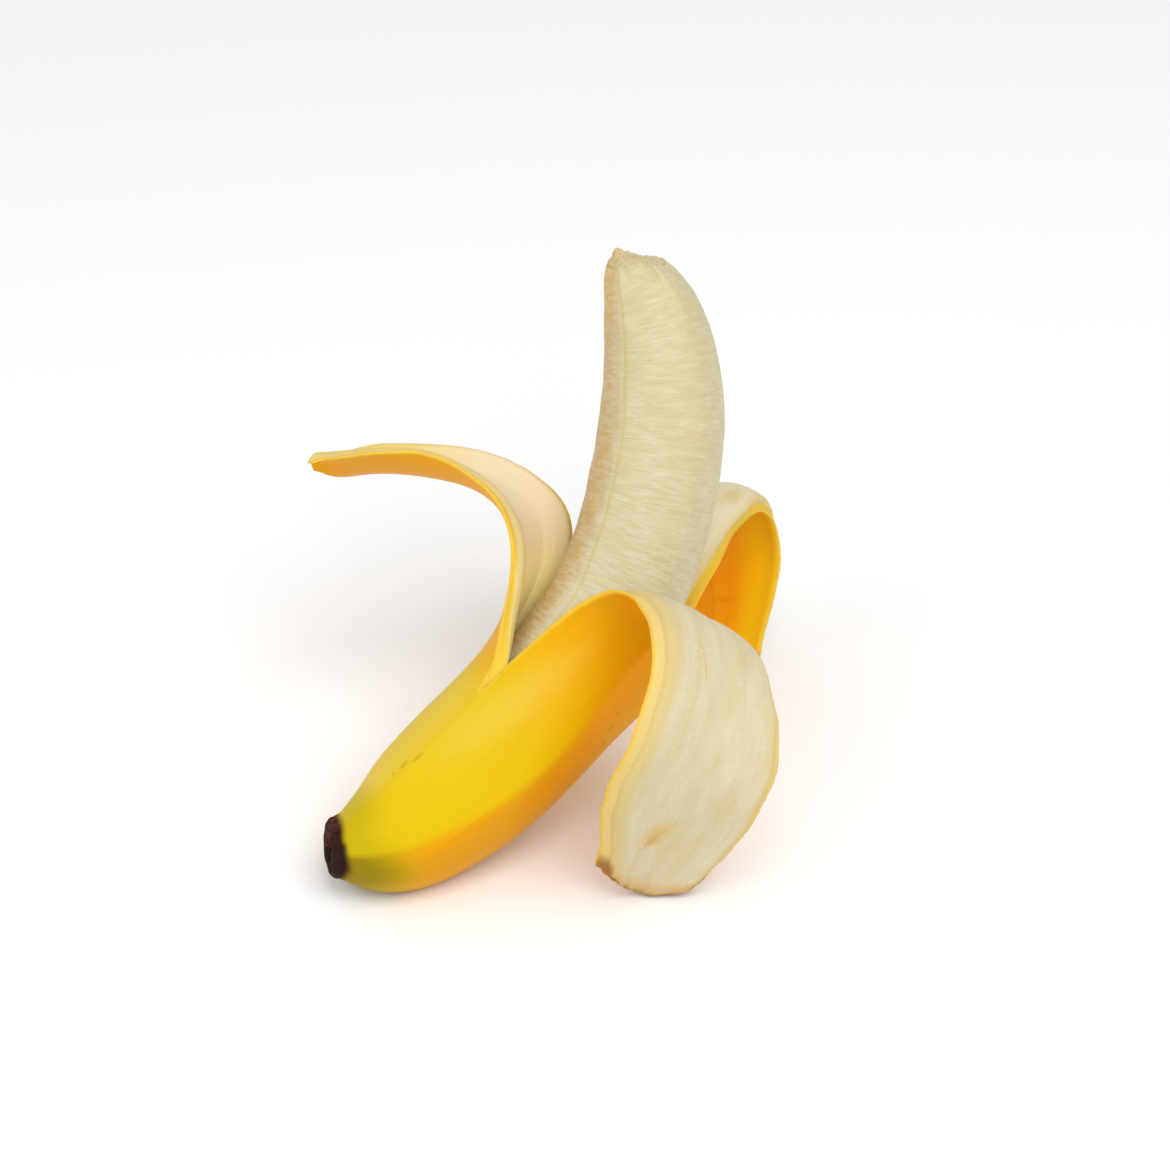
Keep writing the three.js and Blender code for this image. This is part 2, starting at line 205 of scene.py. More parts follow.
@dataclass
class Section:
    """The fruit's cross sections: round, with five soft faces, in the skin and bare.

    gap is the room between flesh and skin, nub_blend how softly the nub goes over into the skin,
    nub_lumps how many lumps go round the nub and where they start, in degrees, and ridge_at the
    angle of one ridge. The faces come out from faces_from to faces_full along the fruit.
    """

    flesh_radius: float = 17.2
    rounded_from: float = 2.5
    rounded_length: float = 50
    taper_from: float = 138
    taper_length: float = 67
    gap: float = 0.3
    thickness: float = 3.5
    nub_radius: float = 7.6
    nub_blend: float = 1.5
    nub_relief: float = 0.35
    nub_lumps: Knots = ((4, 30), (7, 80))
    nub_length: float = 5
    nub_rounding: float = 0.3
    faces: int = 5
    pentagon_mean: float = 0.87
    ridge_at: float = -20
    skin_faceting: float = 6
    flesh_faceting: float = 3
    faces_from: float = 6
    faces_full: float = 28

    def facet(self, degrees: Any) -> Array:
        """A pentagon's radius less its mean: highest on the ridges.

        Args:
            degrees: The angle round the fruit.

        Returns:
            The share of the radius that the faces add or take away.
        """
        face = 360 / self.faces
        off = np.mod(degrees - self.ridge_at, face) - face / 2
        return np.cos(math.radians(face / 2)) / np.cos(np.radians(off)) - self.pentagon_mean

    def grown(self, run: Any) -> Array:
        """How far the five faces have come out at this place, from 0 to 1."""
        return ramp(self.faces_from, self.faces_full, run)

    def flesh(self, run: Any) -> Array:
        """The flesh's mean radius.

        Args:
            run: Distance from the nub.

        Returns:
            The radius, rounded to nothing near the nub and tapering towards the other end.
        """
        rounded = np.clip((run - self.rounded_from) / self.rounded_length, 0, 1)
        taper = np.clip((run - self.taper_from) / self.taper_length, 0, 0.999)
        return self.flesh_radius * np.sqrt(1 - (1 - rounded) ** 2) * np.sqrt(1 - taper**2)

    def flesh_surface(self, run: Any, degrees: Any) -> Array:
        """The flesh's radius with its faces."""
        return self.flesh(run) + self.flesh_faceting * self.facet(degrees) * self.grown(run)

    def skin_surface(self, run: Any, degrees: Any) -> Array:
        """The radius of the closed skin's outside, with the nub's rough end.

        Args:
            run: Distance from the nub.
            degrees: The angle round the fruit.

        Returns:
            The radius: the skin's and the nub's, blended where they are alike.
        """
        skin = self.flesh(run) + self.gap + self.thickness
        either = np.exp(skin / self.nub_blend) + math.exp(self.nub_radius / self.nub_blend)
        lumps = sum(np.sin(np.radians(degrees * count + at)) for count, at in self.nub_lumps)
        nub = self.nub_relief * lumps * (1 - ramp(self.nub_length / 2, self.nub_length, run))
        facet = self.skin_faceting * self.facet(degrees) * self.grown(run)
        rim = 1 - self.nub_rounding * (1 - ramp(-1, self.nub_length / 2, run)) ** 2
        return (self.nub_blend * np.log(either) + facet + nub) * rim


# ------------------------------------------------------------------ the strips of skin
@dataclass(frozen=True)
class TearLine:
    """A line along which the skin is torn."""

    degrees: float
    start: float


class Tear(Enum):
    """The three tears."""

    LEFT_FRONT = TearLine(56, 59)
    FRONT_BACK = TearLine(-86, 66)
    BACK_LEFT = TearLine(-200, 59)


@dataclass(frozen=True)
class Side:
    """One side of a strip.

    tear is its torn line, widths its half widths, cut how far its corner is cut back, shift what
    brings its angle into the strip's own turn of the circle, bevel how far the inner face stays
    back from the outer one, and foot what share more it does so at the strip's foot.
    """

    tear: Tear
    widths: Knots
    cut: float = 0
    shift: float = 0
    bevel: float = 1.3
    foot: float = 0.7

    @property
    def degrees(self) -> float:
        """The torn edge's angle in the strip's own turn of the circle."""
        return self.tear.value.degrees + self.shift


@dataclass(frozen=True)
class TornEdge:
    """How a torn edge looks.

    gap is how far it has drawn back, apart how many degrees a finish sees it drawn back, so that it
    can tell two strips, and opening how soon the tear opens. The inner face's bevel changes from
    foot_from to foot_to past the tear's start. bulge swells the torn face, and bites and nicks are
    waves along it. end_ values shape the strip's end.
    """

    gap: float = 0.6
    apart: float = 0.6
    opening: float = 5
    outer_round: float = 0.55
    inner_round: float = 2.0
    foot_from: float = 15
    foot_to: float = 52
    corner: float = 3.2
    bulge: float = 0.2
    bulge_pitch: float = 2.3
    ragged: float = 0.16
    bite: float = 1.6
    bite_pitch: float = 23
    nick: float = 0.5
    nick_pitch: float = 3.1
    end_bevel: float = 0.8
    end_ragged: float = 0.35
    end_pitch: float = 7


@dataclass
class Patch:
    """Points of a strip that are worked out together.

    run is the distance from the nub along the skin, share goes from 0 on the low side to 1 on the
    high side, depth from 0 on the outside to 1 on the inside, and aside is the distance from the
    middle line across a strip of this width.
    """

    run: Array
    share: Array
    depth: Array
    width: Array
    aside: Array


@dataclass
class Strip:
    """A strip of skin: a third of the tube, and then a ribbon on its own middle line.

    middle is that line's angle on the tube, and leaves where it leaves the tube. fold, roll and
    sway turn the line out of the skin, about itself and within the skin. curl is how round the
    strip is across, as a share of the tube's own roundness, and never less than flat. relax is the
    length over which the tube's own bend fades, and corner_reach how far back a cut corner is felt.
    """

    name: str
    low: Side
    high: Side
    middle: float
    leaves: float
    length: float
    fold: tuple[Bend, ...]
    roll: tuple[Bend, ...]
    sway: tuple[Bend, ...]
    curl: Knots
    columns: int
    line: CentreLine
    section: Section
    edge: TornEdge = TornEdge()
    relax: float = 15
    corner_reach: float = 25
    flat: float = 1e-7
    radius: float = field(init=False)
    places: Array = field(init=False)
    outs: Array = field(init=False)
    crosses: Array = field(init=False)

    def __post_init__(self) -> None:
        """Works out the middle line and its frame: along, out of the skin and across."""
        start = np.array(self.leaves)
        flesh = float(self.section.flesh(start))
        self.radius = flesh + self.section.gap + self.section.thickness / 2
        out = self.line.outward(start, np.array(self.middle))
        place = self.line.place(start) + out * self.radius
        along = self.line.way(self.line.angle(start))
        frames = [(place, out, np.cross(out, along))]
        run, angle = self.leaves, math.radians(self.middle)
        for d in np.arange(STEP / 2, self.length + STEP, STEP):
            bend = float(bend_at(self.line.bends, run))
            stretch = 1 - bend * self.radius * math.sin(angle)
            own = bend * math.sin(angle) * (1 - float(ramp(0, self.relax, d))) / stretch
            fold = own + float(bend_at(self.fold, d))
            sway = bend * math.cos(angle) / stretch + float(bend_at(self.sway, d))
            roll = float(bend_at(self.roll, d))
            across = np.cross(out, along)
            ahead = along + STEP * fold * out + STEP * sway * across
            place = place + STEP * (along + ahead) / np.linalg.norm(along + ahead)
            out = out - STEP * fold * along + STEP * roll * across
            along = ahead / np.linalg.norm(ahead)
            out = out - along * (along @ out)
            out = out / np.linalg.norm(out)
            frames.append((place, out, np.cross(out, along)))
            run += STEP / stretch
        self.places, self.outs, self.crosses = (np.array(part) for part in zip(*frames))

    @property
    def end(self) -> float:
        """How far from the nub the strip's end is, along the skin."""
        return self.leaves + self.length

    def frame_at(self, distance: Array) -> tuple[Array, Array, Array]:
        """The middle line's frame.

        Args:
            distance: Distances along the middle line from where it leaves the tube.

        Returns:
            The places, the ways out of the skin and the ways across it.
        """
        i = np.clip(np.floor(distance / STEP).astype(int), 0, len(self.places) - 2)
        mix = (distance / STEP - i)[:, None]
        place, out, across = (
            lerp(part[i], part[i + 1], mix) for part in (self.places, self.outs, self.crosses)
        )
        out, across = (v / np.linalg.norm(v, axis=1, keepdims=True) for v in (out, across))
        return place, out, across

    def opened(self, side: Side, run: Array) -> Array:
        """How far the tear on this side has opened, from 0 to 1."""
        return ramp(0, self.edge.opening, run - side.tear.value.start)

    def bevel(self, side: Side, run: Array) -> Array:
        """How far the inner face stays back from the outer one."""
        foot = 1 - ramp(self.edge.foot_from, self.edge.foot_to, run - side.tear.value.start)
        return side.bevel * (1 + side.foot * foot)

    def half_width(self, side: Side, run: Array) -> Array:
        """The half width on one side.

        Args:
            side: The low or the high side.
            run: Distance from the nub along the skin.

        Returns:
            The side's share of the tube, and beyond it the torn half width.
        """
        edge = self.edge
        whole = self.radius * math.radians(abs(side.degrees - self.middle))
        opened = self.opened(side, run)
        width = through(((0, whole), *side.widths), run - self.leaves)
        bites = edge.bite * waves(run, 0 * run + 5 * whole, edge.bite_pitch, whole)
        nicks = edge.nick * waves(run, 0 * run, edge.nick_pitch, whole)
        torn = width - rounded_off(self.end - run, edge.corner)
        torn = torn + (edge.ragged * (bites + nicks) - edge.gap) * opened
        return np.where(run <= self.leaves, whole - edge.gap * opened, torn)

    def rounding(self, at: Patch, radius: float) -> Array:
        """How far a face drops towards its torn edges, where they are rounded over.

        Args:
            at: The points.
            radius: The edges' rounding.

        Returns:
            The deepest of the drops towards the two sides and the end.
        """
        drops = [rounded_off(self.end - at.run, radius)]
        for side, share in ((self.low, at.share), (self.high, 1 - at.share)):
            drops.append(rounded_off(share * at.width, radius) * self.opened(side, at.run))
        return np.maximum.reduce(drops)

    def aside(self, run: Array, share: Array, depth: Array, low: Array, high: Array) -> Array:
        """How far points lie from the middle line, across the strip.

        Args:
            run: Distance from the nub along the skin.
            share: From 0 on the low side to 1 on the high side.
            depth: From 0 on the outside to 1 on the inside.
            low: The half width on the low side.
            high: The half width on the high side.

        Returns:
            Distances, below 0 on the low side, with the torn faces' bevel and bulge.
        """
        uneven = 1 + waves(run, 3 * depth, self.edge.bulge_pitch, self.middle)
        bulge = self.edge.bulge * np.sin(math.pi * depth) * uneven
        low_inset, high_inset = (
            (self.bevel(side, run) * depth - bulge) * self.opened(side, run)
            for side in (self.low, self.high)
        )
        return lerp(-low + low_inset, high - high_inset, share)

    def on_tube(self, at: Patch, outer: Array, inner: Array) -> Array:
        """Points where the strip is still part of the tube.

        Args:
            at: The points.
            outer: How far the outer face drops.
            inner: How far the inner face drops.

        Returns:
            The points in millimetres.
        """
        degrees = self.middle + np.degrees(at.aside / self.radius)
        outside = self.section.skin_surface(at.run, degrees) - outer
        inside = self.section.flesh_surface(at.run, degrees) + self.section.gap + inner
        return self.line.around(at.run, degrees, lerp(outside, inside, at.depth))

    def on_ribbon(self, at: Patch, outer: Array, inner: Array) -> Array:
        """Points where the strip is a ribbon that curls across its middle line.

        Args:
            at: The points.
            outer: How far the outer face drops.
            inner: How far the inner face drops.

        Returns:
            The points in millimetres.
        """
        section, edge = self.section, self.edge
        distance = at.run - self.leaves
        facet = section.facet(lerp(self.low.degrees, self.high.degrees, at.share))
        half = section.thickness / 2
        top = half + section.skin_faceting * facet - outer
        bottom = -half + section.flesh_faceting * facet + inner
        offset = lerp(top, bottom, at.depth)
        reach = ramp(self.length - self.corner_reach, self.length, distance)
        cut = np.where(at.share < 0.5, self.low.cut, self.high.cut) * (2 * at.share - 1) ** 2
        ragged = waves(at.share * at.width, 0 * at.share, edge.end_pitch, self.middle)
        frayed = edge.end_ragged * ragged - edge.end_bevel * at.depth
        place, out, across = self.frame_at(distance - cut * reach + frayed * reach**4)
        curve = through(self.curl, distance) / self.radius
        curve = np.where(np.abs(curve) < self.flat, self.flat, curve)
        turn = curve * at.aside
        sideways = np.sin(turn) * (1 / curve + offset)
        outwards = np.cos(turn) * offset - (1 - np.cos(turn)) / curve
        return place + across * sideways[:, None] + out * outwards[:, None]

    def values(self, at: Patch) -> dict[str, Array]:
        """What the skin's finish reads.

        Args:
            at: The points.

        Returns:
            grown, the place on the closed fruit; inside, from the outer face to the inner one; and
            torn and tip, the distances to a torn side and to the strip's end.
        """
        to_low, to_high = (
            np.hypot(share * at.width, np.maximum(side.tear.value.start - at.run, 0))
            for side, share in ((self.low, at.share), (self.high, 1 - at.share))
        )
        low = self.low.degrees + self.edge.apart * self.opened(self.low, at.run)
        high = self.high.degrees - self.edge.apart * self.opened(self.high, at.run)
        turn = np.radians(lerp(low, high, at.share))
        grown = np.stack([at.run, self.radius * np.cos(turn), self.radius * np.sin(turn)], -1)
        tip = np.maximum(self.end - at.run, 0)
        return {"grown": grown, "inside": at.depth, "torn": np.minimum(to_low, to_high), "tip": tip}

    def surface(self, run: Array, share: Array, depth: Array) -> Parts:
        """Points of the strip and what its finish reads there.

        Args:
            run: Distance from the nub along the skin.
            share: From 0 on the low side to 1 on the high side.
            depth: From 0 on the outside to 1 on the inside.

        Returns:
            The points in millimetres, and the values of each attribute.
        """
        low, high = self.half_width(self.low, run), self.half_width(self.high, run)
        at = Patch(run, share, depth, low + high, self.aside(run, share, depth, low, high))
        outer = self.rounding(at, self.edge.outer_round)
        inner = self.rounding(at, self.edge.inner_round)
        tube, ribbon = self.on_tube(at, outer, inner), self.on_ribbon(at, outer, inner)
        points = np.where((run <= self.leaves)[:, None], tube, ribbon)
        points[:, 2] = np.maximum(points[:, 2], GROUND)
        return points, self.values(at)

    def outside(self, run: Array, share: Array) -> Parts:
        """The outer face."""
        return self.surface(run, share, 0 * share)

    def inside(self, run: Array, share: Array) -> Parts:
        """The inner face."""
        return self.surface(run, share, 0 * share + 1)

    def end_face(self, depth: Array, share: Array) -> Parts:
        """The face at the strip's end."""
        return self.surface(0 * share + self.end, share, depth)

    def torn_face(self, share: float) -> Put:
        """The torn face of the low side, with a share of 0, or of the high side, with 1."""
        return lambda run, depth: self.surface(run, 0 * run + share, depth)


# ------------------------------------------------------------------ meshes
class Shell:
    """A closed mesh put together from square nets that share their borders."""

    VECTORS = ("grown",)
    CUBIC_CENTIMETRES = 1e6  # in a cubic metre
    SAME = 2e-6  # metres between vertices that are one
    NOTHING = 1e-7  # metres along an edge that is no edge

    def __init__(self, name: str, numbers: tuple[str, ...]) -> None:
        """Starts an empty mesh.

        Args:
            name: The piece's name.
            numbers: The numbers that are kept at each vertex.
        """
        self.name = name
        self.mesh = bmesh.new()
        kinds = self.mesh.verts.layers
        vectors = {key: kinds.float_vector.new(key) for key in self.VECTORS}
        self.layers = vectors | {key: kinds.float.new(key) for key in numbers}

    def net(self, rows: list[float], columns: list[float], put: Put, flip: bool = False) -> None:
        """Adds one net.

        Args:
            rows: What put is given first, row by row.
            columns: What put is given second, column by column.
            put: Gives the points in millimetres and the attributes.
            flip: Turns the faces round.
        """
        made = bmesh.ops.create_grid(
            self.mesh, x_segments=len(columns) - 1, y_segments=len(rows) - 1, size=0.5
        )["verts"]
        flat = np.array([v.co[:2] for v in made]) + 0.5
        across = np.rint(flat[:, 0] * (len(columns) - 1)).astype(int)
        up = np.rint(flat[:, 1] * (len(rows) - 1)).astype(int)
        points, values = put(np.array(rows, float)[up], np.array(columns, float)[across])
        points = (points - np.array([*BOX_CENTRE, GROUND])) * MILLIMETRE
        for v, point in zip(made, points.tolist()):
            v.co = point
        for key, layer in self.layers.items():
            for v, value in zip(made, values[key].tolist()):
                v[layer] = value
        if flip:
            faces = list({f for v in made for f in v.link_faces})
            bmesh.ops.reverse_faces(self.mesh, faces=faces)

    def finished(self) -> bpy.types.Object:
        """Closes the seams and poles and turns the faces outwards.

        Returns:
            The piece, linked to the scene.
        """
        bmesh.ops.remove_doubles(self.mesh, verts=self.mesh.verts, dist=self.SAME)
        bmesh.ops.dissolve_degenerate(self.mesh, edges=self.mesh.edges, dist=self.NOTHING)
        bmesh.ops.recalc_face_normals(self.mesh, faces=self.mesh.faces)
        open_edges = sum(not e.is_manifold for e in self.mesh.edges)
        volume = self.mesh.calc_volume(signed=True)
        data = bpy.data.meshes.new(self.name)
        self.mesh.to_mesh(data)
        self.mesh.free()
        data.shade_smooth()
        piece = bpy.data.objects.new(self.name, data)
        bpy.context.scene.collection.objects.link(piece)
        told = (self.name, len(data.polygons), open_edges, volume * self.CUBIC_CENTIMETRES)
        log.info("%s: %d faces, %d open edges, %.1f cm3", *told)
        return piece


@dataclass
class Peel:
    """The skin: a closed lower third with the nub, and three strips that fold away.

    edge_columns and end_rows are the distances from a torn side and from a strip's end at which
    the mesh has closer lines. On a strip of the usual width the even columns start edge_room times
    the last of those distances from its sides, and the even rows end end_room from its end.
    nub_rings are the sizes of the rings in the nub's end face, as shares of its rim, and dished is
    how deep its middle lies.
    """

    line: CentreLine
    section: Section
    usual_width: float = 42
    edge_columns: tuple[float, ...] = (0.12, 0.3, 0.6, 1.1, 1.6, 2.2)
    edge_room: float = 1.2
    end_room: float = 1.2
    end_rows: tuple[float, ...] = (0.7, 0.35, 0.12, 0)
    row_every: float = 1.0
    nub_rows_to: float = 8
    nub_row_every: float = 0.4
    depth_every: float = 0.2
    nub_rings: tuple[float, ...] = (1, 0.9, 0.78, 0.64, 0.5, 0.36, 0.22, 0.1, 0)
    hollow_rings: tuple[float, ...] = (1, 0.5, 0)
    nub_relief: float = 0.8
    nub_pitch: float = 4.3
    dished: float = 1.2
    hollow_from: float = 6.0
    strips: list[Strip] = field(init=False)

    def __post_init__(self) -> None:
        """Lays out the three strips."""
        own = {"line": self.line, "section": self.section}
        left = Strip(
            "left",
            low=Side(
                Tear.LEFT_FRONT, ((25, 11.9), (74, 12), (112, 3.2)), cut=-1, bevel=2.0, foot=-2.55
            ),
            high=Side(
                Tear.BACK_LEFT, ((22, 16.6), (50, 26.4), (80, 27.8), (112, 6.8)), cut=6.2, shift=360
            ),
            middle=107, leaves=59, length=112,
            fold=(Bend(0, 35, 24.7), Bend(25, 70, 84.5), Bend(60, 105, 29.1)),
            roll=(Bend(0, 50, 21), Bend(30, 75, -28.5), Bend(60, 105, -26.6)),
            sway=(Bend(0, 60, -16.2), Bend(50, 105, -32.2)),
            curl=((5, 1), (25, 0.62), (55, 0.66), (95, 0.66)),
            columns=34, **own,
        )
        front = Strip(
            "front",
            low=Side(Tear.FRONT_BACK, ((25, 17.4), (71, 14), (149, 14.9)), cut=8.1),
            high=Side(
                Tear.LEFT_FRONT, ((25, 23.8), (71, 26), (103, 31.6), (165, 11.2)),
                cut=2.9, bevel=3.2,
            ),
            middle=-21, leaves=66, length=149,
            fold=(Bend(0, 45, 1.7), Bend(20, 75, 126.9), Bend(60, 115, 82.3)),
            roll=(Bend(0, 50, -6.3), Bend(30, 75, -3.7), Bend(60, 105, -28.7)),
            sway=(Bend(0, 60, -6.6), Bend(50, 105, -37.4)),
            curl=((5, 1), (58, -0.22), (95, 0.27)),
            columns=44, **own,
        )
        back = Strip(
            "back",
            low=Side(Tear.BACK_LEFT, ((30, 14.5), (75, 19.1), (131, 8.7)), cut=-1),
            high=Side(Tear.FRONT_BACK, ((30, 17.6), (75, 23), (131, 14.7)), cut=-1, bevel=2.8),
            middle=-152, leaves=78, length=131,
            fold=(Bend(0, 60, -7.5), Bend(29, 90, 88.6), Bend(75, 125, 41.3)),
            roll=(Bend(0, 60, 1.2), Bend(30, 90, 82.6), Bend(75, 120, -58.5)),
            sway=(Bend(20, 80, 0.5), Bend(50, 105, -46.6)),
            curl=((20, 1), (72, -1.77), (118, -0.19)),
            columns=38, **own,
        )
        self.strips = [left, front, back]

    def tube_rows(self) -> list[float]:
        """The rows that all strips share.

        Returns:
            Distances from the nub, up to where the last strip leaves the tube.
        """
        starts = {tear.value.start for tear in Tear}
        marks = sorted({self.nub_rows_to, *starts, *(s.leaves for s in self.strips)})
        rows = spaced(0, self.nub_rows_to, self.nub_row_every)
        for start, end in zip(marks[:-1], marks[1:]):
            rows += spaced(start, end, self.row_every)[1:]
        return rows

    def strip_rows(self, strip: Strip, tube: list[float]) -> list[float]:
        """The rows of one strip.

        Args:
            strip: The strip.
            tube: The rows that all strips share.

        Returns:
            Distances from the nub, closer together at the strip's end.
        """
        rows = [r for r in tube if r <= strip.leaves]
        rows += spaced(strip.leaves, strip.end - self.end_room, self.row_every)[1:]
        return rows + [strip.end - x for x in self.end_rows]

    def shares(self, strip: Strip) -> list[float]:
        """The columns of one strip.

        Args:
            strip: The strip.

        Returns:
            Even shares across it, with closer ones where its edges are rounded.
        """
        near = [x / self.usual_width for x in self.edge_columns]
        first = near[-1] * self.edge_room
        even = [x for x in spaced(0, 1, 1 / strip.columns) if first < x < 1 - first]
        return [0.0, *near, *even, *(1 - x for x in reversed(near)), 1.0]

    def nub_face(self, strip: Strip) -> Put:
        """The nub's rough end face.

        Args:
            strip: The strip whose part of the face is wanted.

        Returns:
            What gives the points of that part.
        """

        def put(share_in: Array, share: Array) -> Parts:
            """The points of the face.

            Args:
                share_in: From 1 on the rim to 0 in the middle.
                share: From 0 on the strip's low side to 1 on its high side.

            Returns:
                The points in millimetres, and the values of each attribute.
            """
            rim, values = strip.outside(0 * share, share)
            middle = self.line.place(np.array(self.dished))
            away = rim - middle
            x, y = (away[:, k] * 2 * share_in for k in range(2))
            lumps = waves(x, y, self.nub_pitch, 2.0)
            along = self.line.way(self.line.angle(np.array(0.0)))
            fade = np.sin(math.pi * np.clip(share_in, 0, 1))[:, None]
            relief = along * (self.nub_relief * lumps[:, None] * fade)
            return middle + away * share_in[:, None] + relief, values

        return put

    def hollow_face(self, strip: Strip) -> Put:
        """The hidden bottom of the skin's hollow, under the flesh.

        Args:
            strip: The strip whose part of the bottom is wanted.

        Returns:
            What gives the points of that part.
        """

        def put(share_in: Array, share: Array) -> Parts:
            """The points of the face.

            Args:
                share_in: From 1 on the rim to 0 in the middle.
                share: From 0 on the strip's low side to 1 on its high side.

            Returns:
                The points in millimetres, and the values of each attribute.
            """
            rim, values = strip.inside(0 * share + self.hollow_from, share)
            middle = self.line.place(np.array(self.hollow_from))
            return middle + (rim - middle) * share_in[:, None], values

        return put

    def build(self) -> bpy.types.Object:
        """Builds the skin as one closed mesh.

        Returns:
            The piece.
        """
        shell = Shell("banana_skin", ("inside", "torn", "tip"))
        tube = self.tube_rows()
        depths = spaced(0, 1, self.depth_every)
        for strip in self.strips:
            shares = self.shares(strip)
            rows = self.strip_rows(strip, tube)
            inner_rows = [self.hollow_from]
            inner_rows += [r for r in rows if r > self.hollow_from + self.nub_row_every / 2]
            shell.net(rows, shares, strip.outside)
            shell.net(inner_rows, shares, strip.inside, flip=True)
            shell.net(list(self.nub_rings), shares, self.nub_face(strip))
            shell.net(list(self.hollow_rings), shares, self.hollow_face(strip), flip=True)
            for side, share in ((strip.low, 0.0), (strip.high, 1.0)):
                torn = [r for r in rows if r >= side.tear.value.start]
                shell.net(torn, depths, strip.torn_face(share))
            shell.net(depths, shares, strip.end_face)
            log.info("%s strip: %.0f mm long", strip.name, strip.length)
        return shell.finished()

    def dress(self, piece: bpy.types.Object) -> None:
        """Gives the skin its finish and the place of its solid."""
        stand_in(piece, SkinFinish(), node="peel")


@dataclass
class Flesh:
    """The bare flesh, with its ragged broken end.

    The break_ values shape the end: a peak on one side, ripples from its middle, lumps round it, by
    height, count and start in degrees, and crumbs, by height, pitch and seed. The flap_ values are
    a small flap on it.
    """

    line: CentreLine
    section: Section
    start: float = 6.3
    end: float = 197.5
    columns: int = 150
    row_every: float = 1.1
    uneven: float = 0.1
    uneven_pitch: float = 17
    rim_inset: float = 0.35
    rim_reach: float = 2.5
    break_rings: int = 16
    break_radius: float = 15
    break_rise: float = 5
    break_side: float = 100
    break_peak_at: float = 0.45
    break_level: float = 0.6
    break_relief: float = 0.6
    break_ripple: float = 0.5
    break_ripples: float = 9
    break_reach: float = 18
    break_lumps: tuple[tuple[float, float, float], ...] = ((1, 3, 40), (0.3, 8, 0))
    break_crumbs: tuple[tuple[float, float, float], ...] = ((0.30, 4.7, 1.0), (0.12, 2.1, 3.0))
    base_rings: tuple[float, ...] = (1, 0.5, 0)
    flap_at: tuple[float, float] = (0.42, -0.1)
    flap_rise: float = 1.6
    flap_size: float = 0.2

    def rise(self, degrees: Array, share: Array) -> Array:
        """How far the broken end stands above or below its mean level.

        Args:
            degrees: The angle round the flesh.
            share: From 0 in the middle to 1 on the rim.

        Returns:
            Heights in millimetres.
        """
        off = np.radians(degrees - self.break_side)
        x, y = share * np.cos(off), share * np.sin(off)
        away = np.hypot(x - self.break_peak_at, y)
        lumps = sum(height * np.sin(np.radians(count * degrees + at))
                    for height, count, at in self.break_lumps)
        relief = share * lumps + self.break_ripple * np.cos(self.break_ripples * share)
        wide = self.break_radius
        fine = sum(height * waves(wide * x, wide * y, pitch, seed)
                   for height, pitch, seed in self.break_crumbs)
        near = np.hypot(x - self.flap_at[0], y - self.flap_at[1]) / self.flap_size
        flap = self.flap_rise * np.exp(-(near**2))
        peak = self.break_rise * (self.break_level - away)
        return peak + self.break_relief * relief + fine + flap

    def values(self, run: Array, degrees: Array, radius: Array, broken: Array) -> dict[str, Array]:
        """What the flesh's finish reads.

        Args:
            run: Distance from the nub.
            degrees: The angle round the flesh.
            radius: Distance from the centre line.
            broken: 0 on the side, and up to 1 in the middle of the broken end.

        Returns:
            grown, the place on the straight fruit, and broken.
        """
        turn = np.radians(degrees)
        grown = np.stack([run, radius * np.cos(turn), radius * np.sin(turn)], -1)
        return {"grown": grown, "broken": broken}

    def surface(self, level: Array, degrees: Array) -> Parts:
        """Points of the side.

        Args:
            level: Distance from the nub, before the broken end's rise.
            degrees: The angle round the flesh.

        Returns:
            The points in millimetres, and the values of each attribute.
        """
        torn = ramp(self.end - self.break_reach, self.end, level)
        run = level + torn * self.rise(degrees, 0 * level + 1)
        radius = self.section.flesh_surface(level, degrees)
        turn = np.radians(degrees)
        x, y = level + self.uneven_pitch * np.cos(turn), self.uneven_pitch * np.sin(turn)
        uneven = self.uneven * waves(x, y, self.uneven_pitch, 0.5)
        rim = self.rim_inset * ramp(self.end - self.rim_reach, self.end, level)
        radius = radius + uneven - rim
        points = self.line.around(run, degrees, radius)
        points[:, 2] = np.maximum(points[:, 2], GROUND)
        return points, self.values(run, degrees, radius, 0 * level)

    def broken(self, share: Array, degrees: Array) -> Parts:
        """Points of the broken end.

        Args:
            share: From 1 on the rim to 0 in the middle.
            degrees: The angle round the flesh.

        Returns:
            The points in millimetres, and the values of each attribute.
        """
        rim, _ = self.surface(0 * share + self.end, degrees)
        whole = self.section.flesh_surface(self.end + 0 * share, degrees)
        radius = share * (whole - self.rim_inset)
        run = self.end + self.rise(degrees, share)
        points = self.line.around(run, degrees, radius)
        points = np.where(share[:, None] >= 1, rim, points)
        return points, self.values(run, degrees, radius, 1 - share)

    def base(self, share: Array, degrees: Array) -> Parts:
        """Points of the hidden lower end.

        Args:
            share: From 1 on the rim to 0 in the middle.
            degrees: The angle round the flesh.

        Returns:
            The points in millimetres, and the values of each attribute.
        """
        rim, values = self.surface(0 * share + self.start, degrees)
        middle = self.line.place(np.array(self.start))
        return middle + (rim - middle) * share[:, None], values

    def build(self) -> bpy.types.Object:
        """Builds the flesh as one closed mesh.

        Returns:
            The piece.
        """
        shell = Shell("banana_flesh", ("broken",))
        round_it = spaced(0, 360, 360 / self.columns)
        rings = range(self.break_rings + 1)
        shell.net(spaced(self.start, self.end, self.row_every), round_it, self.surface)
        shell.net(list(self.base_rings), round_it, self.base)
        shell.net([1 - ring / self.break_rings for ring in rings], round_it, self.broken)
        return shell.finished()

    def dress(self, piece: bpy.types.Object) -> None:
        """Gives the flesh its finish and the place of its solid."""
        stand_in(piece, FleshFinish(), node="flesh")


